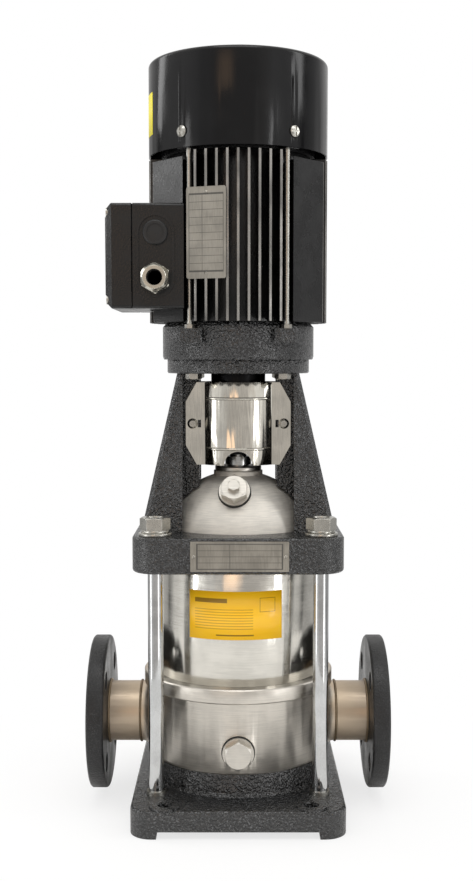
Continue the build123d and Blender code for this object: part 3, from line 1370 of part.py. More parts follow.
# ---------------------------------------------------------------- every node
nodes = {
    "base_plate": make_base_plate(),
    "base_casing": make_base_casing(),
    "inlet_flange": make_flange(180),
    "outlet_flange": make_flange(0),
    "drain_plug": make_plug(drain_place()),
    "drain_plug_seal": make_plug_seal(drain_place()),
    "outer_sleeve": tube(sleeve_radius, sleeve_inside, sleeve_bottom, sleeve_top),
    "sleeve_orings": make_orings(),
    "pump_head": make_pump_head(),
    "priming_plug": make_plug(priming_place(), bored=True),
    "priming_plug_seal": make_plug_seal(priming_place()),
    "vent_screw": make_vent_screw(),
    "stay_bolts": make_stay_bolts(),
    "stay_bolt_washers": make_stay_washers(),
    "stay_bolt_nuts": make_stay_nuts(),
    "stay_bolt_foot_washers": make_foot_washers(),
    "motor_stool": make_motor_stool(),
    "motor_flange_bolts": make_motor_flange_bolts(),
    "coupling_guard_front": make_guard(0),
    "coupling_guard_rear": make_guard(180),
    "guard_screws": make_guard_screws(),
    "head_nameplate": make_head_nameplate(),
    "drive_end_shield": make_drive_shield(),
    "stator_frame": make_stator_frame(),
    "fan_end_shield": make_fan_shield(),
    "motor_tie_bolts": make_tie_bolts(),
    "fan_cover": make_fan_cover(),
    "fan_cover_screws": make_cover_screws(),
    "terminal_box": make_terminal_box(),
    "terminal_box_lid": make_box_lid(),
    "terminal_box_screws": make_lid_screws(),
    "terminal_board": make_terminal_board(),
    "cable_gland": make_cable_gland(),
    "gland_nut": make_gland_nut(),
    "gland_seal": make_gland_seal(),
    "blanking_plug": make_blanking_plug(),
    "motor_nameplate": make_motor_plate(),
    "stator_core": make_stator_core(),
    "stator_windings": make_stator_windings(),
    "bearing_outer_rings": make_bearing_outers(),
    "bearing_balls": make_bearing_outers(balls=True),
    "bearing_inner_rings": make_bearing_inners(),
    "motor_shaft": make_motor_shaft(),
    "rotor_core": make_rotor_core(),
    "cooling_fan": make_cooling_fan(),
    "coupling_half_front": make_coupling_half(True),
    "coupling_half_rear": make_coupling_half(False),
    "coupling_fasteners": make_coupling_fasteners(),
    "pump_shaft": make_pump_shaft(),
    "suction_bowl": make_suction_bowl(),
    "suction_cover": make_suction_cover(),
    "stage_chambers": group([make_stage_chamber(stage) for stage in range(stage_count)]),
    "outlet_plate": make_outlet_plate(),
    "guide_bush": make_guide_bush(),
    "stage_straps": make_stage_straps(),
    "impellers": group([make_impeller(stage) for stage in range(stage_count)]),
    "shaft_spacers": make_spacers(),
    "shaft_seal": make_seal_head(),
    "seal_cover": make_seal_cover(),
    "seal_seat": make_seal_seat(),
}

os.makedirs("parts", exist_ok=True)
for name, shape in nodes.items():
    export_step(shape, f"parts/{name}.step")
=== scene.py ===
"""Vertical multistage pump: finishes, fine details, studio and camera.

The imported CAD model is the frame. This script gives each piece its finish, adds what is
too fine for the CAD model, such as weld beads, plate rules and stickers, and sets the
studio and the camera. Every size is in metres unless its name ends in _mm.
"""

import json
import logging
import math
from dataclasses import dataclass, field
from enum import Enum
from typing import Sequence

import bmesh
import bpy
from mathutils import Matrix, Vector

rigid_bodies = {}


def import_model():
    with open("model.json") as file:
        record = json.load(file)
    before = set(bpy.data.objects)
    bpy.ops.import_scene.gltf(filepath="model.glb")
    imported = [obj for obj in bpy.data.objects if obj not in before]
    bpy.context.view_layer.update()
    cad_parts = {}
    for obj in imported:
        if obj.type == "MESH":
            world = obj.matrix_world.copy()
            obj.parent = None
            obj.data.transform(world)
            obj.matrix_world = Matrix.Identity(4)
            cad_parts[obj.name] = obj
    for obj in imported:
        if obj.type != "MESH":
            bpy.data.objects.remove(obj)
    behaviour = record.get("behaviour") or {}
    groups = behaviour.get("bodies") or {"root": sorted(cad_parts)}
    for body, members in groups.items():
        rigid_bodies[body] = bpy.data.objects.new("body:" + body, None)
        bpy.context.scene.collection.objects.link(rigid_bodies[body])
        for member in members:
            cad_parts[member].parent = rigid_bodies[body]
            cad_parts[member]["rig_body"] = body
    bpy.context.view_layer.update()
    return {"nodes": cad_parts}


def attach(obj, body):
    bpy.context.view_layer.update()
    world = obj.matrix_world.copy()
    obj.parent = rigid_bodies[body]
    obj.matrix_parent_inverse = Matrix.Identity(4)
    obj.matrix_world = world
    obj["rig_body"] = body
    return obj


LOG = logging.getLogger("pump")
MM = 0.001
Rgba = tuple[float, float, float, float]

# Driving sizes of the pump that the fine pieces and finishes follow
SLEEVE_RADIUS_MM = 79.5
COVER_RADIUS_MM = 83.0
FIN_RADIUS_MM = 83.0
FIN_FIELD_MM = 40.0  # half width of the field of fins on each side
PORT_HEIGHT_MM = 80.0

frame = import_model()
NODES = frame["nodes"]


# ------------------------------------------------------------------ small helpers
def srgb(hex_code: str) -> Rgba:
    """Turn an sRGB hex colour into linear RGBA.

    Args:
        hex_code: Six hex digits.

    Returns:
        Linear red, green, blue and an alpha of 1.
    """
    linear = []
    for start in (0, 2, 4):
        level = int(hex_code[start:start + 2], 16) / 255
        linear.append(level / 12.92 if level <= 0.04045 else ((level + 0.055) / 1.055) ** 2.4)
    return (*linear, 1.0)


def scaled(colour: Rgba, factor: float, lift: float = 0.0) -> Rgba:
    """Make a colour darker or lighter, never past white.

    Args:
        colour: Linear RGBA.
        factor: Factor on red, green and blue.
        lift: Amount added to each after that.

    Returns:
        The changed colour.
    """
    return (*(min(1.0, part * factor + lift) for part in colour[:3]), 1.0)


def deselect() -> None:
    """Clear the selection so that operators act only on the new piece."""
    for obj in bpy.context.selected_objects:
        obj.select_set(False)


def activate(obj: bpy.types.Object) -> None:
    """Select one object alone and make it active."""
    deselect()
    obj.select_set(True)
    bpy.context.view_layer.objects.active = obj


def apply_all(obj: bpy.types.Object) -> None:
    """Apply every modifier and the object's own placement, in that order."""
    activate(obj)
    for modifier in list(obj.modifiers):
        bpy.ops.object.modifier_apply(modifier=modifier.name)
    bpy.ops.object.transform_apply(location=True, rotation=True, scale=True)


# ------------------------------------------------------------------ shader building
class Graph:
    """A node tree that is built step by step."""

    def __init__(self, tree: bpy.types.NodeTree) -> None:
        """Take the tree to build in.

        Args:
            tree: Node tree of a material or of the world.
        """
        self.tree = tree

    def node(self, kind: str, **settings: object) -> bpy.types.Node:
        """Add a node and set its properties.

        Args:
            kind: Node type, without the ShaderNode prefix.
            settings: Node properties.

        Returns:
            The new node.
        """
        new = self.tree.nodes.new("ShaderNode" + kind)
        for key, value in settings.items():
            setattr(new, key, value)
        return new

    def put(self, target: bpy.types.NodeSocket, value: object) -> None:
        """Link a socket, or set a constant on it.

        Args:
            target: Input socket.
            value: Output socket or constant.
        """
        if isinstance(value, bpy.types.NodeSocket):
            self.tree.links.new(value, target)
        else:
            target.default_value = value

    def fill(self, node: bpy.types.Node, *values: object) -> bpy.types.NodeSocket:
        """Give a node its first inputs in order.

        Args:
            node: Node to fill.
            values: Sockets or constants.

        Returns:
            The node's first output.
        """
        for index, value in enumerate(values):
            self.put(node.inputs[index], value)
        return node.outputs[0]

    def math(self, operation: str, a: object, b: object = 0.0) -> bpy.types.NodeSocket:
        """One arithmetic step.

        Args:
            operation: Math node operation.
            a: First socket or number.
            b: Second socket or number.

        Returns:
            The value socket.
        """
        return self.fill(self.node("Math", operation=operation), a, b)

    def product(self, *factors: object) -> bpy.types.NodeSocket:
        """Multiply two or more values.

        Args:
            factors: Sockets or numbers.

        Returns:
            The value socket.
        """
        result = factors[0]
        for factor in factors[1:]:
            result = self.math("MULTIPLY", result, factor)
        return result

    def ramp(self, value: object, low: float, high: float, start: float = 0.0,
             end: float = 1.0) -> bpy.types.NodeSocket:
        """Map a value smoothly from one range to another.

        Args:
            value: Socket to map.
            low: Start of the input range.
            high: End of the input range.
            start: Result at the start.
            end: Result at the end.

        Returns:
            The mapped socket.
        """
        return self.fill(self.node("MapRange", interpolation_type="SMOOTHSTEP"), value, low, high, start, end)

    def band(self, value: object, low: float, high: float, soft: float) -> bpy.types.NodeSocket:
        """1 inside a range and 0 outside, with soft edges.

        Args:
            value: Socket to test.
            low: Lower end.
            high: Upper end.
            soft: Half width of the edges.

        Returns:
            The mask socket.
        """
        rise = self.ramp(value, low - soft, low + soft)
        fall = self.ramp(value, high - soft, high + soft, 1.0, 0.0)
        return self.product(rise, fall)

    def window(self, across: object, up: object, sides: Sequence[float], ends: Sequence[float],
               soft: float) -> bpy.types.NodeSocket:
        """1 inside a rectangle and 0 outside.

        Args:
            across: Socket that runs along the rectangle.
            up: Socket that runs up it.
            sides: Left and right edge.
            ends: Lower and upper edge.
            soft: Half width of the edges.

        Returns:
            The mask socket.
        """
        return self.product(self.band(across, *sides, soft), self.band(up, *ends, soft))

    def blend(self, factor: object, a: object, b: object) -> bpy.types.NodeSocket:
        """Mix two colours.

        Args:
            factor: Share of the second colour.
            a: First colour.
            b: Second colour.

        Returns:
            The colour socket.
        """
        mix = self.node("Mix", data_type="RGBA")
        self.put(mix.inputs[0], factor)
        self.put(mix.inputs[6], a)
        self.put(mix.inputs[7], b)
        return mix.outputs[2]

    def split(self, vector: bpy.types.NodeSocket) -> tuple[bpy.types.NodeSocket, ...]:
        """Take a vector apart.

        Args:
            vector: Socket to split.

        Returns:
            Its X, Y and Z sockets.
        """
        node = self.node("SeparateXYZ")
        self.put(node.inputs[0], vector)
        return tuple(node.outputs)


class Shader(Graph):
    """A material with a Principled surface."""

    def __init__(self, name: str) -> None:
        """Start the material.

        Args:
            name: Material name, after the real material and its process.
        """
        self.material = bpy.data.materials.new(name)
        self.material.use_nodes = True
        super().__init__(self.material.node_tree)
        self.surface = self.tree.nodes["Principled BSDF"]
        self._object: bpy.types.NodeSocket | None = None

    def place(self, scale: Sequence[float] = (1, 1, 1)) -> bpy.types.NodeSocket:
        """Object coordinates, stretched by a scale along each axis.

        Args:
            scale: Factor along X, Y and Z.

        Returns:
            The vector socket.
        """
        if self._object is None:
            self._object = self.node("TexCoord").outputs["Object"]
        mapping = self.node("Mapping")
        self.put(mapping.inputs["Vector"], self._object)
        mapping.inputs["Scale"].default_value = tuple(scale)
        return mapping.outputs["Vector"]

    def noise(self, size_mm: float, stretch: Sequence[float] = (1, 1, 1),
              detail: float = 3.0) -> bpy.types.NodeSocket:
        """Noise whose features are about a real size.

        Args:
            size_mm: Feature size in millimetres.
            stretch: Extra factor along each axis.
            detail: Octaves.

        Returns:
            The factor socket.
        """
        texture = self.node("TexNoise")
        self.put(texture.inputs["Vector"], self.place(stretch))
        texture.inputs["Scale"].default_value = 1 / (size_mm * MM)
        texture.inputs["Detail"].default_value = detail
        return texture.outputs["Fac"]

    def bump(self, height: object, depth_mm: float, strength: float = 1.0) -> None:
        """Add relief to the surface on top of any relief before it.

        Args:
            height: Height socket between 0 and 1.
            depth_mm: Real depth of the relief.
            strength: Share of the relief that shows.
        """
        step = self.node("Bump")
        step.inputs["Strength"].default_value = strength
        step.inputs["Distance"].default_value = depth_mm * MM
        self.put(step.inputs["Height"], height)
        normal = self.surface.inputs["Normal"]
        if normal.is_linked:
            self.put(step.inputs["Normal"], normal.links[0].from_socket)
        self.put(normal, step.outputs[0])

    def set(self, **values: object) -> None:
        """Set surface inputs by name, with underscores for spaces.

        Args:
            values: Input names and values or sockets.
        """
        for key, value in values.items():
            self.put(self.surface.inputs[key.replace("_", " ")], value)

    def tint(self, share: object, colour: object) -> None:
        """Lay another colour over the base colour that the material has.

        Args:
            share: Where and how much of it.
            colour: The new colour.
        """
        under = self.surface.inputs["Base Color"].links[0].from_socket
        self.set(Base_Color=self.blend(share, under, colour))


FLAKE_TONE = "A6A8AB"


@dataclass(frozen=True)
class Enamel:
    """Paint over a casting or pressing.

    Attributes:
        name: Material name.
        tone: sRGB hex of the paint.
        worn: sRGB hex of dusty or thin places.
        cell_mm: Size of the pits.
        relief_mm: Depth of the pits.
        gloss: Lowest and highest roughness.
        shine: Specular level; filled paints reflect less than clear ones.
        flake: How metallic the aluminium flake on the raised rims looks.
    """

    name: str
    tone: str
    worn: str
    cell_mm: float
    relief_mm: float
    gloss: tuple[float, float]
    shine: float = 0.35
    flake: float = 0.0

    def shader(self) -> Shader:
        """Make the shader: pooled pits over a slower swell of the casting or sheet.

        Returns:
            The shader, open to further layers.
        """
        sh = Shader(self.name)
        patches = sh.noise(24, detail=4)
        pits = sh.ramp(sh.noise(self.cell_mm, detail=1.0), 0.4, 0.62)
        paint = sh.blend(sh.ramp(patches, 0.42, 0.75, 0.0, 0.6), srgb(self.tone), srgb(self.worn))
        gloss = sh.ramp(patches, 0.3, 0.7, *self.gloss)
        if self.flake:
            rims = sh.ramp(sh.noise(self.cell_mm * 0.55, detail=0.5), 0.6, 0.7)
            spread = sh.ramp(sh.noise(30, detail=2), 0.35, 0.65, 0.4, 1.0)
            flake = sh.product(rims, spread, self.flake)
            paint = sh.blend(flake, paint, srgb(FLAKE_TONE))
            sh.set(Metallic=flake)
        sh.set(Base_Color=paint, Roughness=gloss, Specular_IOR_Level=self.shine)
        sh.bump(pits, self.relief_mm)
        sh.bump(sh.noise(self.cell_mm * 0.45, detail=1), self.relief_mm * 0.4)
        sh.bump(sh.noise(11, detail=2), self.relief_mm * 0.8)
        return sh

    def build(self) -> bpy.types.Material:
        """Make the material.

        Returns:
            The material.
        """
        return self.shader().material


@dataclass(frozen=True)
class Steel:
    """Bare or plated metal.

    Attributes:
        name: Material name.
        tone: sRGB hex of the metal.
        gloss: Lowest and highest roughness.
        grain_mm: Spacing of the fine working lines.
        along: Stretch of the lines along X, Y and Z; the large factor crosses them.
        grain_depth_mm: Depth of the lines.
        wave_mm: Size of the slow unevenness of sheet metal, 0 for none.
    """

    name: str
    tone: str
    gloss: tuple[float, float]
    grain_mm: float = 1.0
    along: tuple[float, float, float] = (1, 1, 1)
    grain_depth_mm: float = 0.004
    wave_mm: float = 0.0

    def shader(self) -> Shader:
        """Make the shader: working lines, smudges and slow unevenness.

        Returns:
            The shader, so that a finish can add to it.
        """
        sh = Shader(self.name)
        lines = sh.noise(self.grain_mm, self.along, 4)
        smudge = sh.noise(18, detail=4)
        spread = sh.math("ADD", sh.product(lines, 0.5), sh.product(smudge, 0.5))
        clean = srgb(self.tone)
        sh.set(
            Metallic=1.0,
            Base_Color=sh.blend(sh.ramp(spread, 0.38, 0.62), scaled(clean, 0.8), clean),
            Roughness=sh.ramp(spread, 0.38, 0.62, *self.gloss),
        )
        sh.bump(lines, self.grain_depth_mm, 0.7)
        if self.wave_mm:
            sh.bump(sh.noise(self.wave_mm, detail=1), 0.25, 0.35)
        return sh

    def build(self) -> bpy.types.Material:
        """Make the material.

        Returns:
            The material.
        """
        return self.shader().material


@dataclass(frozen=True)
class Moulded:
    """Rubber, plastic, ceramic or lacquered wire.

    Attributes:
        name: Material name.
        tone: sRGB hex of the material.
        rough: Mean roughness.
        speck_mm: Size of the surface texture.
        relief_mm: Depth of the texture.
    """

    name: str
    tone: str
    rough: float
    speck_mm: float = 0.8
    relief_mm: float = 0.02

    def build(self) -> bpy.types.Material:
        """Make the material.

        Returns:
            The material.
        """
        sh = Shader(self.name)
        patch = sh.noise(12, detail=3)
        tone = srgb(self.tone)
        sh.set(
            Base_Color=sh.blend(patch, tone, scaled(tone, 1.25, 0.002)),
            Roughness=sh.ramp(patch, 0.3, 0.7, self.rough * 0.85, min(1.0, self.rough * 1.15)),
        )
        sh.bump(sh.noise(self.speck_mm, detail=2), self.relief_mm, 0.6)
        return sh.material


# ------------------------------------------------------------------ finishes
TURNED = (0.02, 0.02, 1.0)  # fine rings round the shaft axis
EVEN = (1.0, 1.0, 1.0)  # no direction


class Finish(Enum):
    """Finishes by what they are, each with the recipe that makes it."""

    # Stoved hammered enamel over sand-cast iron
    HAMMERED = Enamel("hammered_enamel_on_cast_iron", "0A0B0C", "151618", 2.4, 0.95, (0.14, 0.26), 0.9, 0.28)
    # Sprayed semi-gloss enamel over fine castings
    SEMI = Enamel("semi_gloss_enamel_on_cast_iron", "0A0A0B", "121213", 1.6, 0.05, (0.22, 0.36), 0.45)
    # Smooth gloss enamel over deep-drawn sheet
    COVER = Enamel("gloss_enamel_on_pressed_steel", "08080A", "101011", 1.3, 0.008, (0.12, 0.2), 0.3)
    # Brushed black paint over cast flanges
    FLANGE = Enamel("black_paint_on_cast_flange", "101011", "1D1D1E", 1.5, 0.14, (0.28, 0.44), 0.45, 0.12)
    # Stainless as it comes from the lathe or press
    SATIN = Steel("satin_stainless_turned", "D2CEC6", (0.28, 0.4), 0.5, TURNED, 0.006, 45)
    # Rolled tube, polished round
    MIRROR = Steel("mirror_polished_stainless_sleeve", "DAD7CF", (0.12, 0.22), 0.35, TURNED, 0.0015, 60)
    # Bright sheet with upright rolling lines
    GUARD = Steel("bright_rolled_stainless_sheet", "D6D2C8", (0.09, 0.17), 0.4, (1.0, 1.0, 0.03), 0.001, 22)
    # Chromed bar, drawn lengthwise
    CHROME = Steel("chromed_round_bar", "C9CACA", (0.05, 0.1), 0.4, (1.0, 1.0, 0.2), 0.001)
    # Bright zinc plating on fasteners
    ZINC = Steel("bright_zinc_plated_steel", "BDBBB4", (0.22, 0.36), 0.8, EVEN, 0.01)
    # Nickel plating on turned brass
    NICKEL = Steel("nickel_plated_brass", "C4C1B6", (0.14, 0.26), 0.7, EVEN, 0.006)
    # Cylindrically ground shafts and bearing rings
    GROUND = Steel("ground_stainless_shaft", "BFBFBD", (0.15, 0.25), 0.3, TURNED, 0.004)
    # Oil-blackened steel
    DARK = Steel("blackened_coupling_steel", "2A2A2B", (0.3, 0.45), 0.8, EVEN, 0.02)
    # Stacked electrical sheet, seen on edge
    LAMINATED = Steel("laminated_electrical_steel", "6B6C70", (0.35, 0.5), 0.5, TURNED, 0.03)
    # Pressure-cast rotor cage
    ALUMINIUM = Steel("die_cast_aluminium", "B4B5B8", (0.35, 0.5), 1.2, EVEN, 0.03)
    # Lacquered winding wire
    COPPER = Moulded("varnished_copper_wire", "8A4A26", 0.35, 0.9, 0.15)
    # Moulded seals
    RUBBER = Moulded("moulded_epdm_rubber", "161616", 0.7)
    # Injection-moulded fan, board and plug
    PLASTIC = Moulded("moulded_black_polyamide", "121213", 0.42)
    # Sintered bush and seal seat
    CERAMIC = Moulded("sintered_alumina", "DDD9CE", 0.3)


NODE_FINISHES: dict[Finish, tuple[str, ...]] = {
    Finish.HAMMERED: ("base_plate", "motor_stool", "drive_end_shield"),
    Finish.SEMI: ("fan_end_shield", "terminal_box", "terminal_box_lid"),
    Finish.COVER: ("fan_cover",),
    Finish.FLANGE: ("inlet_flange", "outlet_flange"),
    Finish.SATIN: (
        "drain_plug", "priming_plug", "vent_screw", "suction_bowl", "suction_cover", "stage_chambers",
        "outlet_plate", "stage_straps", "impellers", "shaft_spacers", "seal_cover",
    ),
    Finish.MIRROR: ("outer_sleeve",),
    Finish.GUARD: ("coupling_guard_front", "coupling_guard_rear"),
    Finish.CHROME: ("stay_bolts",),
    Finish.ZINC: (
        "stay_bolt_washers", "stay_bolt_nuts", "stay_bolt_foot_washers", "motor_flange_bolts", "guard_screws",
        "motor_tie_bolts", "fan_cover_screws", "terminal_box_screws", "coupling_fasteners",
    ),
    Finish.NICKEL: ("cable_gland", "gland_nut"),
    Finish.GROUND: (
        "pump_shaft", "motor_shaft", "bearing_outer_rings", "bearing_balls", "bearing_inner_rings",
        "shaft_seal",
    ),
    Finish.DARK: ("coupling_half_front", "coupling_half_rear"),
    Finish.LAMINATED: ("stator_core",),
    Finish.ALUMINIUM: ("rotor_core",),
    Finish.COPPER: ("stator_windings",),
    Finish.RUBBER: ("drain_plug_seal", "priming_plug_seal", "sleeve_orings", "gland_seal"),
    Finish.PLASTIC: ("blanking_plug", "terminal_board", "cooling_fan"),
    Finish.CERAMIC: ("guide_bush", "seal_seat"),
}


# Reach of the weld tint along the port axis, from the stub's root to behind the flange
TINT_START_MM = 87.0
TINT_END_MM = 132.0


def casing_material() -> bpy.types.Material:
    """Satin stainless with the heat tint that welding leaves on the port stubs.

    Returns:
        The material.
    """
    sh = Steel("satin_stainless_with_weld_tint", "D6D1C8", (0.34, 0.46), 0.5, TURNED, 0.005, 40).shader()
    east, _, _ = sh.split(sh.place())
    wander = sh.product(sh.math("SUBTRACT", sh.noise(14, detail=3), 0.5), 14 * MM)
    reach = sh.math("ADD", sh.math("ABSOLUTE", east), wander)
    tinted = sh.band(reach, TINT_START_MM * MM, TINT_END_MM * MM, 6 * MM)
    deeper = sh.ramp(reach, (TINT_START_MM + 3) * MM, (TINT_END_MM - 7) * MM)
    brown = sh.blend(deeper, srgb("C2AC90"), srgb("A38F78"))
    sh.tint(sh.product(tinted, 0.75), brown)
    return sh.material


def frame_material() -> bpy.types.Material:
    """Semi-gloss enamel with a painted highlight along the fin crests: a light grey, partly metallic tint
    whose strength varies along them.

    Returns:
        The material.
    """
    sh = Finish.SEMI.value.shader()
    east, north, _ = sh.split(sh.place())
    square = sh.math("ADD", sh.product(east, east), sh.product(north, north))
    crest = sh.ramp(sh.math("SQRT", square), (FIN_RADIUS_MM - 0.5) * MM, (FIN_RADIUS_MM - 0.1) * MM)
    aside = sh.math("MINIMUM", sh.math("ABSOLUTE", east), sh.math("ABSOLUTE", north))
    field_of_fins = sh.ramp(aside, (FIN_FIELD_MM - 0.5) * MM, (FIN_FIELD_MM + 0.5) * MM, 1.0, 0.0)
    # Painted highlight on the fin crests, patchy in strength: a light grey, partly metallic tint that stands
    # in for the light catching the crests
    wear = sh.ramp(sh.noise(16, (1, 1, 0.3), 3), 0.3, 0.62, 0.2, 0.6)
    rubbed = sh.product(crest, field_of_fins, wear)
    sh.tint(rubbed, srgb("C9C6C1"))
    sh.set(Metallic=rubbed)
    return sh.material


def head_material() -> bpy.types.Material:
    """Spun and blasted stainless dome, with faint spinning rings.

    Returns:
        The material.
    """
    sh = Steel("spun_stainless_dome", "E6E2DA", (0.56, 0.68), 0.7, (0.05, 0.05, 1.0), 0.006).shader()
    sh.set(Metallic=0.62)
    sh.bump(sh.noise(0.9, detail=2), 0.02, 0.5)
    return sh.material


@dataclass(frozen=True)
class EtchedPlate:
    """Bare metal plate with plain printed rules, empty boxes and a rim.

    Attributes:
        name: Material name.
        centre_mm: Middle of the plate.
        turn: Angle of the plate about Z, in degrees.
        half_width_mm: Half its width.
        half_height_mm: Half its height.
        rows: Number of rules.
    """

    name: str
    centre_mm: tuple[float, float, float]
    turn: float
    half_width_mm: float
    half_height_mm: float
    rows: int

    def mask(self, sh: Shader, across: object, up: object, wide: float, tall: float) -> bpy.types.NodeSocket:
        """Mask of a rectangle in the middle of the plate.

        Args:
            sh: Shader to build in.
            across: Socket along the plate.
            up: Socket up the plate.
            wide: Share of the width.
            tall: Share of the height.

        Returns:
            The mask socket.
        """
        side = self.half_width_mm * wide * MM
        end = self.half_height_mm * tall * MM
        return sh.window(across, up, (-side, side), (-end, end), 0.1 * MM)

    def build(self) -> bpy.types.Material:
        """Make the plate's material.

        Returns:
            The material.
        """
        sh = Steel(self.name, "A9A59C", (0.3, 0.44), 0.5, (1.0, 1.0, 0.05), 0.003).shader()
        shift = sh.node("VectorMath", operation="SUBTRACT")
        sh.fill(shift, sh.place(), Vector(self.centre_mm) * MM)
        spin = sh.node("VectorRotate", rotation_type="Z_AXIS")
        sh.put(spin.inputs["Vector"], shift.outputs[0])
        spin.inputs["Angle"].default_value = -math.radians(self.turn)
        across, _, up = sh.split(spin.outputs[0])
        printed = self.mask(sh, across, up, 0.88, 0.86)
        inner = self.mask(sh, across, up, 0.85, 0.82)
        row_step = 2 * self.half_height_mm * MM / (self.rows + 1)
        rows = sh.math("PINGPONG", up, row_step / 2)
        columns = sh.math("ADD", across, self.half_width_mm * 0.2 * MM)
        columns = sh.math("PINGPONG", columns, self.half_width_mm * 0.55 * MM)
        lines = [sh.ramp(cycle, 0.12 * MM, 0.26 * MM, 1.0, 0.0) for cycle in (rows, columns)]
        rule = sh.math("MAXIMUM", *lines)
        ink = sh.product(sh.math("MAXIMUM", rule, sh.math("SUBTRACT", 1.0, inner)), printed)
        sh.tint(sh.product(ink, 0.8), srgb("2B2A28"))
        sh.set(Metallic=sh.ramp(ink, 0.0, 1.0, 1.0, 0.2))
        return sh.material


MOTOR_PLATE = EtchedPlate("etched_motor_plate", (-28.1, -78.9, 529.4), -19.6, 18.5, 39.8, 11)
HEAD_PLATE = EtchedPlate("etched_head_plate", (1.3, -95.0, 245.85), 0.0, 43.5, 13.5, 4)


def label_material() -> bpy.types.Material:
    """Yellow vinyl label with a plain printed bar, rules and an empty box.

    Returns:
        The material.
    """
    sh = Shader("printed_yellow_vinyl")
    across, _, up = sh.split(sh.place())
    left, right = LABEL.left_mm, LABEL.right_mm
    low, high = LABEL.low_mm, LABEL.high_mm

    def printed(sides: Sequence[float], ends: Sequence[float], soft: float = 0.2) -> bpy.types.NodeSocket:
        """Mask of one printed rectangle, its edges in millimetres."""
        return sh.window(across, up, [side * MM for side in sides], [end * MM for end in ends], soft * MM)

    bar = printed((left + 5, left + 34), (high - 10.5, high - 6.5))
    block = printed((left + 5, right - 26), (low + 9, high - 15))
    cycle = sh.math("PINGPONG", sh.math("SUBTRACT", up, low * MM), 1.25 * MM)
    rules = sh.product(sh.ramp(cycle, 0.35 * MM, 0.5 * MM, 1.0, 0.0), block, 0.55)
    box = printed((right - 20, right - 6), (high - 19, high - 6), 0.1)
    core = printed((right - 19.5, right - 6.5), (high - 18.5, high - 6.5), 0.1)
    foot = printed((left + 24, left + 58), (low + 3.5, low + 4.8))
    ink = sh.math("MAXIMUM", bar, rules)
    ink = sh.math("MAXIMUM", ink, sh.math("SUBTRACT", box, core))
    ink = sh.math("MAXIMUM", ink, foot)
    paper = sh.blend(sh.noise(15, detail=2), srgb("FFC10A"), srgb("FFCB20"))
    colour = sh.blend(sh.product(ink, 0.75), paper, srgb("4A3406"))
    sh.set(Base_Color=colour, Roughness=0.34, Coat_Weight=0.25)
    sh.bump(sh.noise(20, detail=1), 0.1, 0.4)
    return sh.material


def weld_material() -> bpy.types.Material:
    """Pickled weld bead, matt and straw coloured.

    Returns:
        The material.
    """
    sh = Steel("pickled_weld_bead", "A39179", (0.4, 0.6), 0.8, EVEN, 0.03).shader()
    sh.bump(sh.noise(1.6, detail=1), 0.25, 0.8)
    return sh.material


# Width of the broken edges of each node, in millimetres
EDGE_BREAKS = {
    "base_plate": 0.8, "motor_stool": 0.9, "drive_end_shield": 0.6, "stator_frame": 0.4, "terminal_box": 0.6,
    "terminal_box_lid": 0.7, "fan_cover": 0.3, "inlet_flange": 0.5, "outlet_flange": 0.5, "base_casing": 0.4,
    "pump_head": 0.4, "stay_bolt_nuts": 0.35, "stay_bolt_washers": 0.3, "drain_plug": 0.4,
    "priming_plug": 0.4, "coupling_guard_front": 0.15, "coupling_guard_rear": 0.15, "gland_nut": 0.3,
    "cable_gland": 0.3,
    "motor_flange_bolts": 0.3, "coupling_half_front": 0.3, "coupling_half_rear": 0.3, "motor_nameplate": 0.15,
    "head_nameplate": 0.15, "outer_sleeve": 0.15, "seal_cover": 0.3, "vent_screw": 0.2, "blanking_plug": 0.3,
}


def paint_nodes() -> None:
    """Give every CAD node its finish, and cast or formed ones a fine edge break."""
    made = {finish: finish.value.build() for finish in NODE_FINISHES}
    painted = {
        "base_casing": casing_material(),
        "pump_head": head_material(),
        "stator_frame": frame_material(),
        "motor_nameplate": MOTOR_PLATE.build(),
        "head_nameplate": HEAD_PLATE.build(),
    }
    for finish, names in NODE_FINISHES.items():
        painted.update(dict.fromkeys(names, made[finish]))
    for name, obj in NODES.items():
        obj.data.materials.clear()
        obj.data.materials.append(painted[name])
    for name, width_mm in EDGE_BREAKS.items():
        break_edges(NODES[name], width_mm)


SHARP_ANGLE = math.radians(35)  # edges that turn more than this get a break


def break_edges(obj: bpy.types.Object, width_mm: float) -> None:
    """Round a CAD node's sharp edges with live modifiers, its own mesh untouched.

    Args:
        obj: CAD node object.
        width_mm: Width of the rounding.
    """
    weld = obj.modifiers.new("seams", "WELD")
    weld.merge_threshold = 0.002 * MM
    bevel = obj.modifiers.new("edge_break", "BEVEL")
    bevel.width = width_mm * MM
    bevel.segments = 2
    bevel.limit_method = "ANGLE"
    bevel.angle_limit = SHARP_ANGLE
    bevel.use_clamp_overlap = True
    bevel.harden_normals = True


# ------------------------------------------------------------------ fine pieces
def add_piece(name: str, material: bpy.types.Material, node: str) -> bpy.types.Object:
    """Finish the active object as a named piece that goes with a CAD node's body.

    Args:
        name: Piece name.
        material: Its material.
        node: CAD node that carries it.

    Returns:
        The piece.
    """
    obj = bpy.context.object
    obj.name = name
    obj.data.name = name
    apply_all(obj)
    obj.data.materials.clear()
    obj.data.materials.append(material)
    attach(obj, NODES[node]["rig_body"])
    return obj


def trim(point: tuple[float, float, float], normal: tuple[float, float, float]) -> None:
    """Cut the active mesh by a plane and drop the side the normal points to.

    Args:
        point: Point on the plane.
        normal: Plane normal.
    """
    bpy.ops.object.mode_set(mode="EDIT")
    bpy.ops.mesh.select_all(action="SELECT")
    bpy.ops.mesh.bisect(plane_co=point, plane_no=normal, clear_outer=True)
    bpy.ops.object.mode_set(mode="OBJECT")


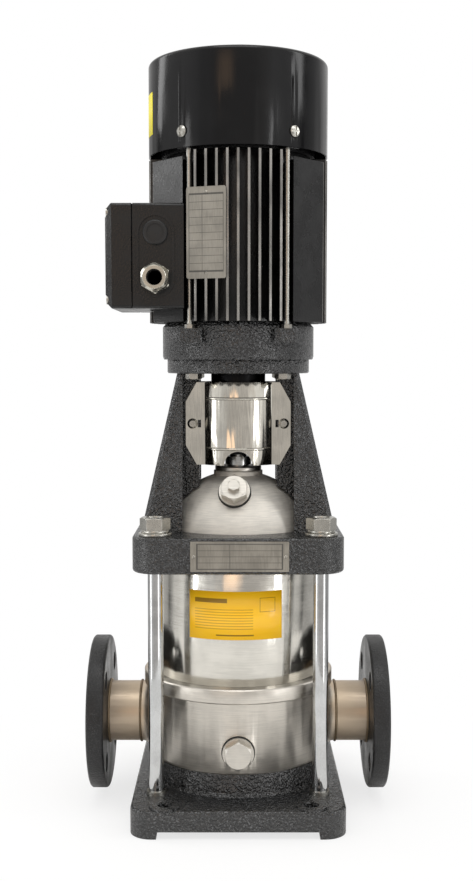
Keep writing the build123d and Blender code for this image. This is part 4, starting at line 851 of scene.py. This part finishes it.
@dataclass(frozen=True)
class Sticker:
    """Thin film wrapped round an upright cylinder.

    Attributes:
        name: Piece name.
        node: CAD node it sticks to.
        radius_mm: Radius of the cylinder.
        left_mm: Left end along X.
        right_mm: Right end along X.
        low_mm: Lower edge.
        high_mm: Upper edge.
    """

    name: str
    node: str
    radius_mm: float
    left_mm: float
    right_mm: float
    low_mm: float
    high_mm: float

    def build(self, material: bpy.types.Material, slot: str) -> bpy.types.Object:
        """Cut the film from an open tube and give it its thickness.

        Args:
            material: Film material.
            slot: Record slot; not used.

        Returns:
            The film.
        """
        deselect()
        bpy.ops.mesh.primitive_cylinder_add(
            vertices=360, radius=(self.radius_mm + 0.02) * MM, depth=(self.high_mm - self.low_mm) * MM,
            end_fill_type="NOTHING", location=(0, 0, (self.high_mm + self.low_mm) / 2 * MM))
        bpy.ops.object.transform_apply(location=True, rotation=True, scale=True)
        trim((self.left_mm * MM, 0, 0), (-1, 0, 0))
        trim((self.right_mm * MM, 0, 0), (1, 0, 0))
        trim((0, 0, 0), (0, 1, 0))
        solid = bpy.context.object.modifiers.new("film", "SOLIDIFY")
        solid.thickness = 0.12 * MM
        solid.offset = 1.0
        activate(bpy.context.object)
        bpy.ops.object.shade_smooth_by_angle(angle=math.radians(30))
        return add_piece(self.name, material, self.node)


LABEL = Sticker("sleeve_label", "outer_sleeve", SLEEVE_RADIUS_MM, -44.0, 39.4, 167.4, 211.5)
COVER_STICKER = Sticker("cover_sticker", "fan_cover", COVER_RADIUS_MM, -82.6, -77.5, 622.0, 660.0)


@dataclass(frozen=True)
class WeldBead:
    """Fillet weld round a port stub.

    Attributes:
        name: Piece name.
        reach_mm: Distance from the shaft axis.
        radius_mm: Radius of the bead's ring.
        size_mm: Half width of the bead.
        ripples: Ripples once round.
    """

    name: str
    reach_mm: float
    radius_mm: float
    size_mm: float
    ripples: int = 45

    def build(self, material: bpy.types.Material) -> bpy.types.Object:
        """Make a ring and press ripples into it.

        Args:
            material: Weld material.

        Returns:
            The bead.
        """
        deselect()
        bpy.ops.mesh.primitive_torus_add(
            major_radius=self.radius_mm * MM, minor_radius=self.size_mm * MM, major_segments=180,
            minor_segments=10, location=(self.reach_mm * MM, 0, PORT_HEIGHT_MM * MM),
            rotation=(0, math.radians(90), 0))
        bpy.ops.object.transform_apply(location=True, rotation=True, scale=True)
        bpy.ops.object.mode_set(mode="EDIT")
        bpy.ops.mesh.select_all(action="DESELECT")
        mesh = bmesh.from_edit_mesh(bpy.context.object.data)
        for vert in mesh.verts:
            turn = math.atan2(vert.co.y, vert.co.z - PORT_HEIGHT_MM * MM)
            vert.select_set(math.sin(turn * self.ripples) > 0.3)
        mesh.select_flush_mode()
        bmesh.update_edit_mesh(bpy.context.object.data)
        bpy.ops.transform.shrink_fatten(value=0.12 * MM)
        bpy.ops.object.mode_set(mode="OBJECT")
        activate(bpy.context.object)
        bpy.ops.object.shade_smooth_by_angle(angle=math.radians(60))
        return add_piece(self.name, material, "base_casing")


# Beads at the two ends of a port stub: distance from the shaft axis, ring radius and half width
PORT_BEADS = (("neck", 93.0, 28.6, 1.1), ("flange", 122.9, 29.3, 1.3))


@dataclass
class FinePieces:
    """Everything too fine for the CAD model.

    Attributes:
        made: The pieces, in the order of their making.
    """

    made: list[bpy.types.Object] = field(default_factory=list)

    def build(self) -> None:
        """Make the label, the side sticker and the weld beads."""
        self.made.append(LABEL.build(label_material(), "stainless_mirror"))
        plain = Moulded("plain_yellow_vinyl", "F2DE1C", 0.35, 3.0, 0.01).build()
        self.made.append(COVER_STICKER.build(plain, "cast_iron_semi"))
        bead = weld_material()
        for side, word in ((-1, "inlet"), (1, "outlet")):
            for end, reach_mm, radius_mm, size_mm in PORT_BEADS:
                name = f"weld_bead_{word}_{end}"
                self.made.append(WeldBead(name, side * reach_mm, radius_mm, size_mm).build(bead))
        LOG.info("fine pieces: %d", len(self.made))


# ------------------------------------------------------------------ studio
AIM_HEIGHT = 0.6  # no panel aims higher on the shaft axis


@dataclass(frozen=True)
class Panel:
    """Soft light panel that only lights and reflects.

    Attributes:
        name: Panel name.
        azimuth: Degrees round from the camera side, positive to the right.
        distance: Distance from the shaft axis.
        height: Height of its middle.
        size: Width and height.
        strength: Emission strength.
    """

    name: str
    azimuth: float
    distance: float
    height: float
    size: tuple[float, float]
    strength: float

    def build(self) -> None:
        """Add an area light that faces the shaft axis."""
        data = bpy.data.lights.new(self.name, "AREA")
        data.shape = "RECTANGLE"
        data.size, data.size_y = self.size
        area = self.size[0] * self.size[1]
        data.energy = self.strength * area * math.pi
        obj = bpy.data.objects.new(self.name, data)
        bpy.context.scene.collection.objects.link(obj)
        turn = math.radians(self.azimuth)
        place = Vector((math.sin(turn) * self.distance, -math.cos(turn) * self.distance, self.height))
        obj.location = place
        aim = Vector((0, 0, min(self.height, AIM_HEIGHT))) - place
        obj.rotation_mode = "QUATERNION"
        obj.rotation_quaternion = aim.to_track_quat("-Z", "Y")
        obj.visible_camera = False


# Light of the room round the pump: degrees from the camera side, then level
ROOM_LEVELS = (
    (-180, 0.7), (-150, 0.55), (-128, 0.5), (-119, 0.36), (-114, 0.1), (-109, 0.3), (-103, 0.6),
    (-88, 0.76), (-70, 0.85), (-56, 0.78), (-44, 0.6), (-20, 0.5), (0, 0.52), (20, 0.52), (34, 0.72),
    (46, 0.92), (60, 0.82), (72, 0.72), (84, 0.5), (91, 0.2), (95, 0.1), (100, 0.4), (126, 0.48),
    (150, 0.6), (180, 0.7),
)
WARM_SECTOR = 35  # degrees to each side of the camera where the room is warmer
OVERHEAD_TONE = (0.92, 0.91, 0.89, 1)
OVERHEAD_RISE = (0.28, 0.75)  # sines of the heights between which the room turns to that tone
CARD_TONE = (1.7, 1.25, 0.92, 1)
ROOM_STRENGTH = 1.15


def room_colour(graph: Graph, azimuth: bpy.types.NodeSocket) -> bpy.types.NodeSocket:
    """Level and warmth of the room all round.

    Args:
        graph: World graph.
        azimuth: Angle from the camera side, in radians.

    Returns:
        The colour socket.
    """
    across = graph.fill(graph.node("MapRange"), azimuth, -math.pi, math.pi)
    node = graph.node("ValToRGB")
    graph.put(node.inputs[0], across)
    stops = node.color_ramp
    stops.interpolation = "EASE"
    while len(stops.elements) < len(ROOM_LEVELS):
        stops.elements.new(0.5)
    for element, (angle, level) in zip(stops.elements, ROOM_LEVELS):
        warm = 0.93 if abs(angle) < WARM_SECTOR else 0.985
        element.position = (angle + 180) / 360
        element.color = (level, level * (1 + warm) / 2, level * warm, 1)
    return node.outputs[0]


def warm_card(graph: Graph, azimuth: bpy.types.NodeSocket, up: bpy.types.NodeSocket) -> bpy.types.NodeSocket:
    """Mask of a warm card a little left of the camera, which the fan cover mirrors.

    Args:
        graph: World graph.
        azimuth: Angle from the camera side, in radians.
        up: Sine of the height above the horizon.

    Returns:
        The mask socket.
    """
    left = graph.ramp(azimuth, math.radians(-30), math.radians(-18))
    right = graph.ramp(azimuth, math.radians(-12), math.radians(-2), 1.0, 0.0)
    bottom = graph.ramp(up, 0.02, 0.07)
    top = graph.ramp(up, 0.25, 0.34, 1.0, 0.0)
    return graph.product(left, right, bottom, top)


def set_world() -> None:
    """White backdrop for the camera, a soft grey studio for light and reflections."""
    world = bpy.data.worlds.new("studio")
    bpy.context.scene.world = world
    world.use_nodes = True
    graph = Graph(world.node_tree)
    graph.tree.nodes.clear()
    east, north, up = graph.split(graph.node("TexCoord").outputs["Generated"])
    azimuth = graph.math("ARCTAN2", east, graph.product(north, -1.0))
    overhead = graph.ramp(up, *OVERHEAD_RISE)
    room = graph.blend(overhead, room_colour(graph, azimuth), OVERHEAD_TONE)
    lit = graph.blend(warm_card(graph, azimuth, up), room, CARD_TONE)
    studio = graph.fill(graph.node("Background"), lit, ROOM_STRENGTH)
    white = graph.fill(graph.node("Background"), (1, 1, 1, 1), 1.0)
    seen = graph.node("LightPath").outputs["Is Camera Ray"]
    shown = graph.fill(graph.node("MixShader"), seen, studio, white)
    graph.put(graph.node("OutputWorld").inputs[0], shown)


FLOOR_RADIUS = 0.6
FLOOR_FADE = (0.12, 0.36)  # distances from the shaft axis between which the floor turns white


def add_floor() -> None:
    """Small pale round floor that shows the soft shadow under the base."""
    deselect()
    just_under = (0, 0, -0.2 * MM)
    bpy.ops.mesh.primitive_circle_add(vertices=96, radius=FLOOR_RADIUS, fill_type="NGON", location=just_under)
    floor = bpy.context.object
    floor.name = "studio_floor"
    sh = Shader("matt_white_floor")
    sh.set(Base_Color=srgb("F7F7F7"), Roughness=0.9)
    white = sh.fill(sh.node("Emission"), (1, 1, 1, 1), 1.0)
    length = sh.node("VectorMath", operation="LENGTH")
    sh.put(length.inputs[0], sh.node("TexCoord").outputs["Object"])
    fade = sh.ramp(length.outputs["Value"], *FLOOR_FADE, 0.72, 1.0)
    share = sh.product(fade, sh.node("LightPath").outputs["Is Camera Ray"])
    mix = sh.fill(sh.node("MixShader"), share, sh.surface.outputs[0], white)
    sh.put(sh.tree.nodes["Material Output"].inputs["Surface"], mix)
    floor.data.materials.append(sh.material)


@dataclass(frozen=True)
class CameraView:
    """The viewpoint: a level-headed camera tilted slightly down.

    Attributes:
        place: Camera position.
        tilt: Downward tilt in radians.
        lens_mm: Focal length over a sensor of sensor_mm.
        sensor_mm: Long side of the sensor.
        shift: Shift of the lens across and up, as shares of the long side.
    """

    place: tuple[float, float, float] = (0.0, -1.14718, 0.41979)
    tilt: float = 0.0858
    lens_mm: float = 49.3609
    sensor_mm: float = 36.0
    shift: tuple[float, float] = (-0.0019296, 0.0247106)

    def build(self) -> None:
        """Make the camera and use it."""
        data = bpy.data.cameras.new("camera")
        data.sensor_width = self.sensor_mm
        data.sensor_fit = "AUTO"
        data.lens = self.lens_mm
        data.shift_x, data.shift_y = self.shift
        data.clip_start, data.clip_end = 0.05, 50
        obj = bpy.data.objects.new("camera", data)
        bpy.context.scene.collection.objects.link(obj)
        obj.location = self.place
        obj.rotation_euler = (math.pi / 2 - self.tilt, 0, 0)
        bpy.context.scene.camera = obj


LIGHTS = (
    Panel("left_low_strip", -66, 1.7, -0.1, (0.2, 1.2), 4.5),
    Panel("right_low_strip", 46, 1.7, -0.1, (0.2, 1.2), 4.5),
    Panel("left_high_softbox", -110, 1.7, 1.15, (0.4, 1.1), 4.0),
    Panel("right_high_softbox", 81, 1.7, 1.15, (0.4, 1.1), 4.0),
    Panel("top_softbox", 0, 0.6, 2.0, (1.0, 0.8), 2.4),
)


def main() -> None:
    """Build the whole picture."""
    logging.basicConfig(level=logging.INFO)
    scene = bpy.context.scene
    scene.view_settings.view_transform = "Standard"
    scene.view_settings.look = "None"
    deselect()
    paint_nodes()
    FinePieces().build()
    add_floor()
    set_world()
    for light in LIGHTS:
        light.build()
    CameraView().build()


if __name__ == "__main__":
    main()
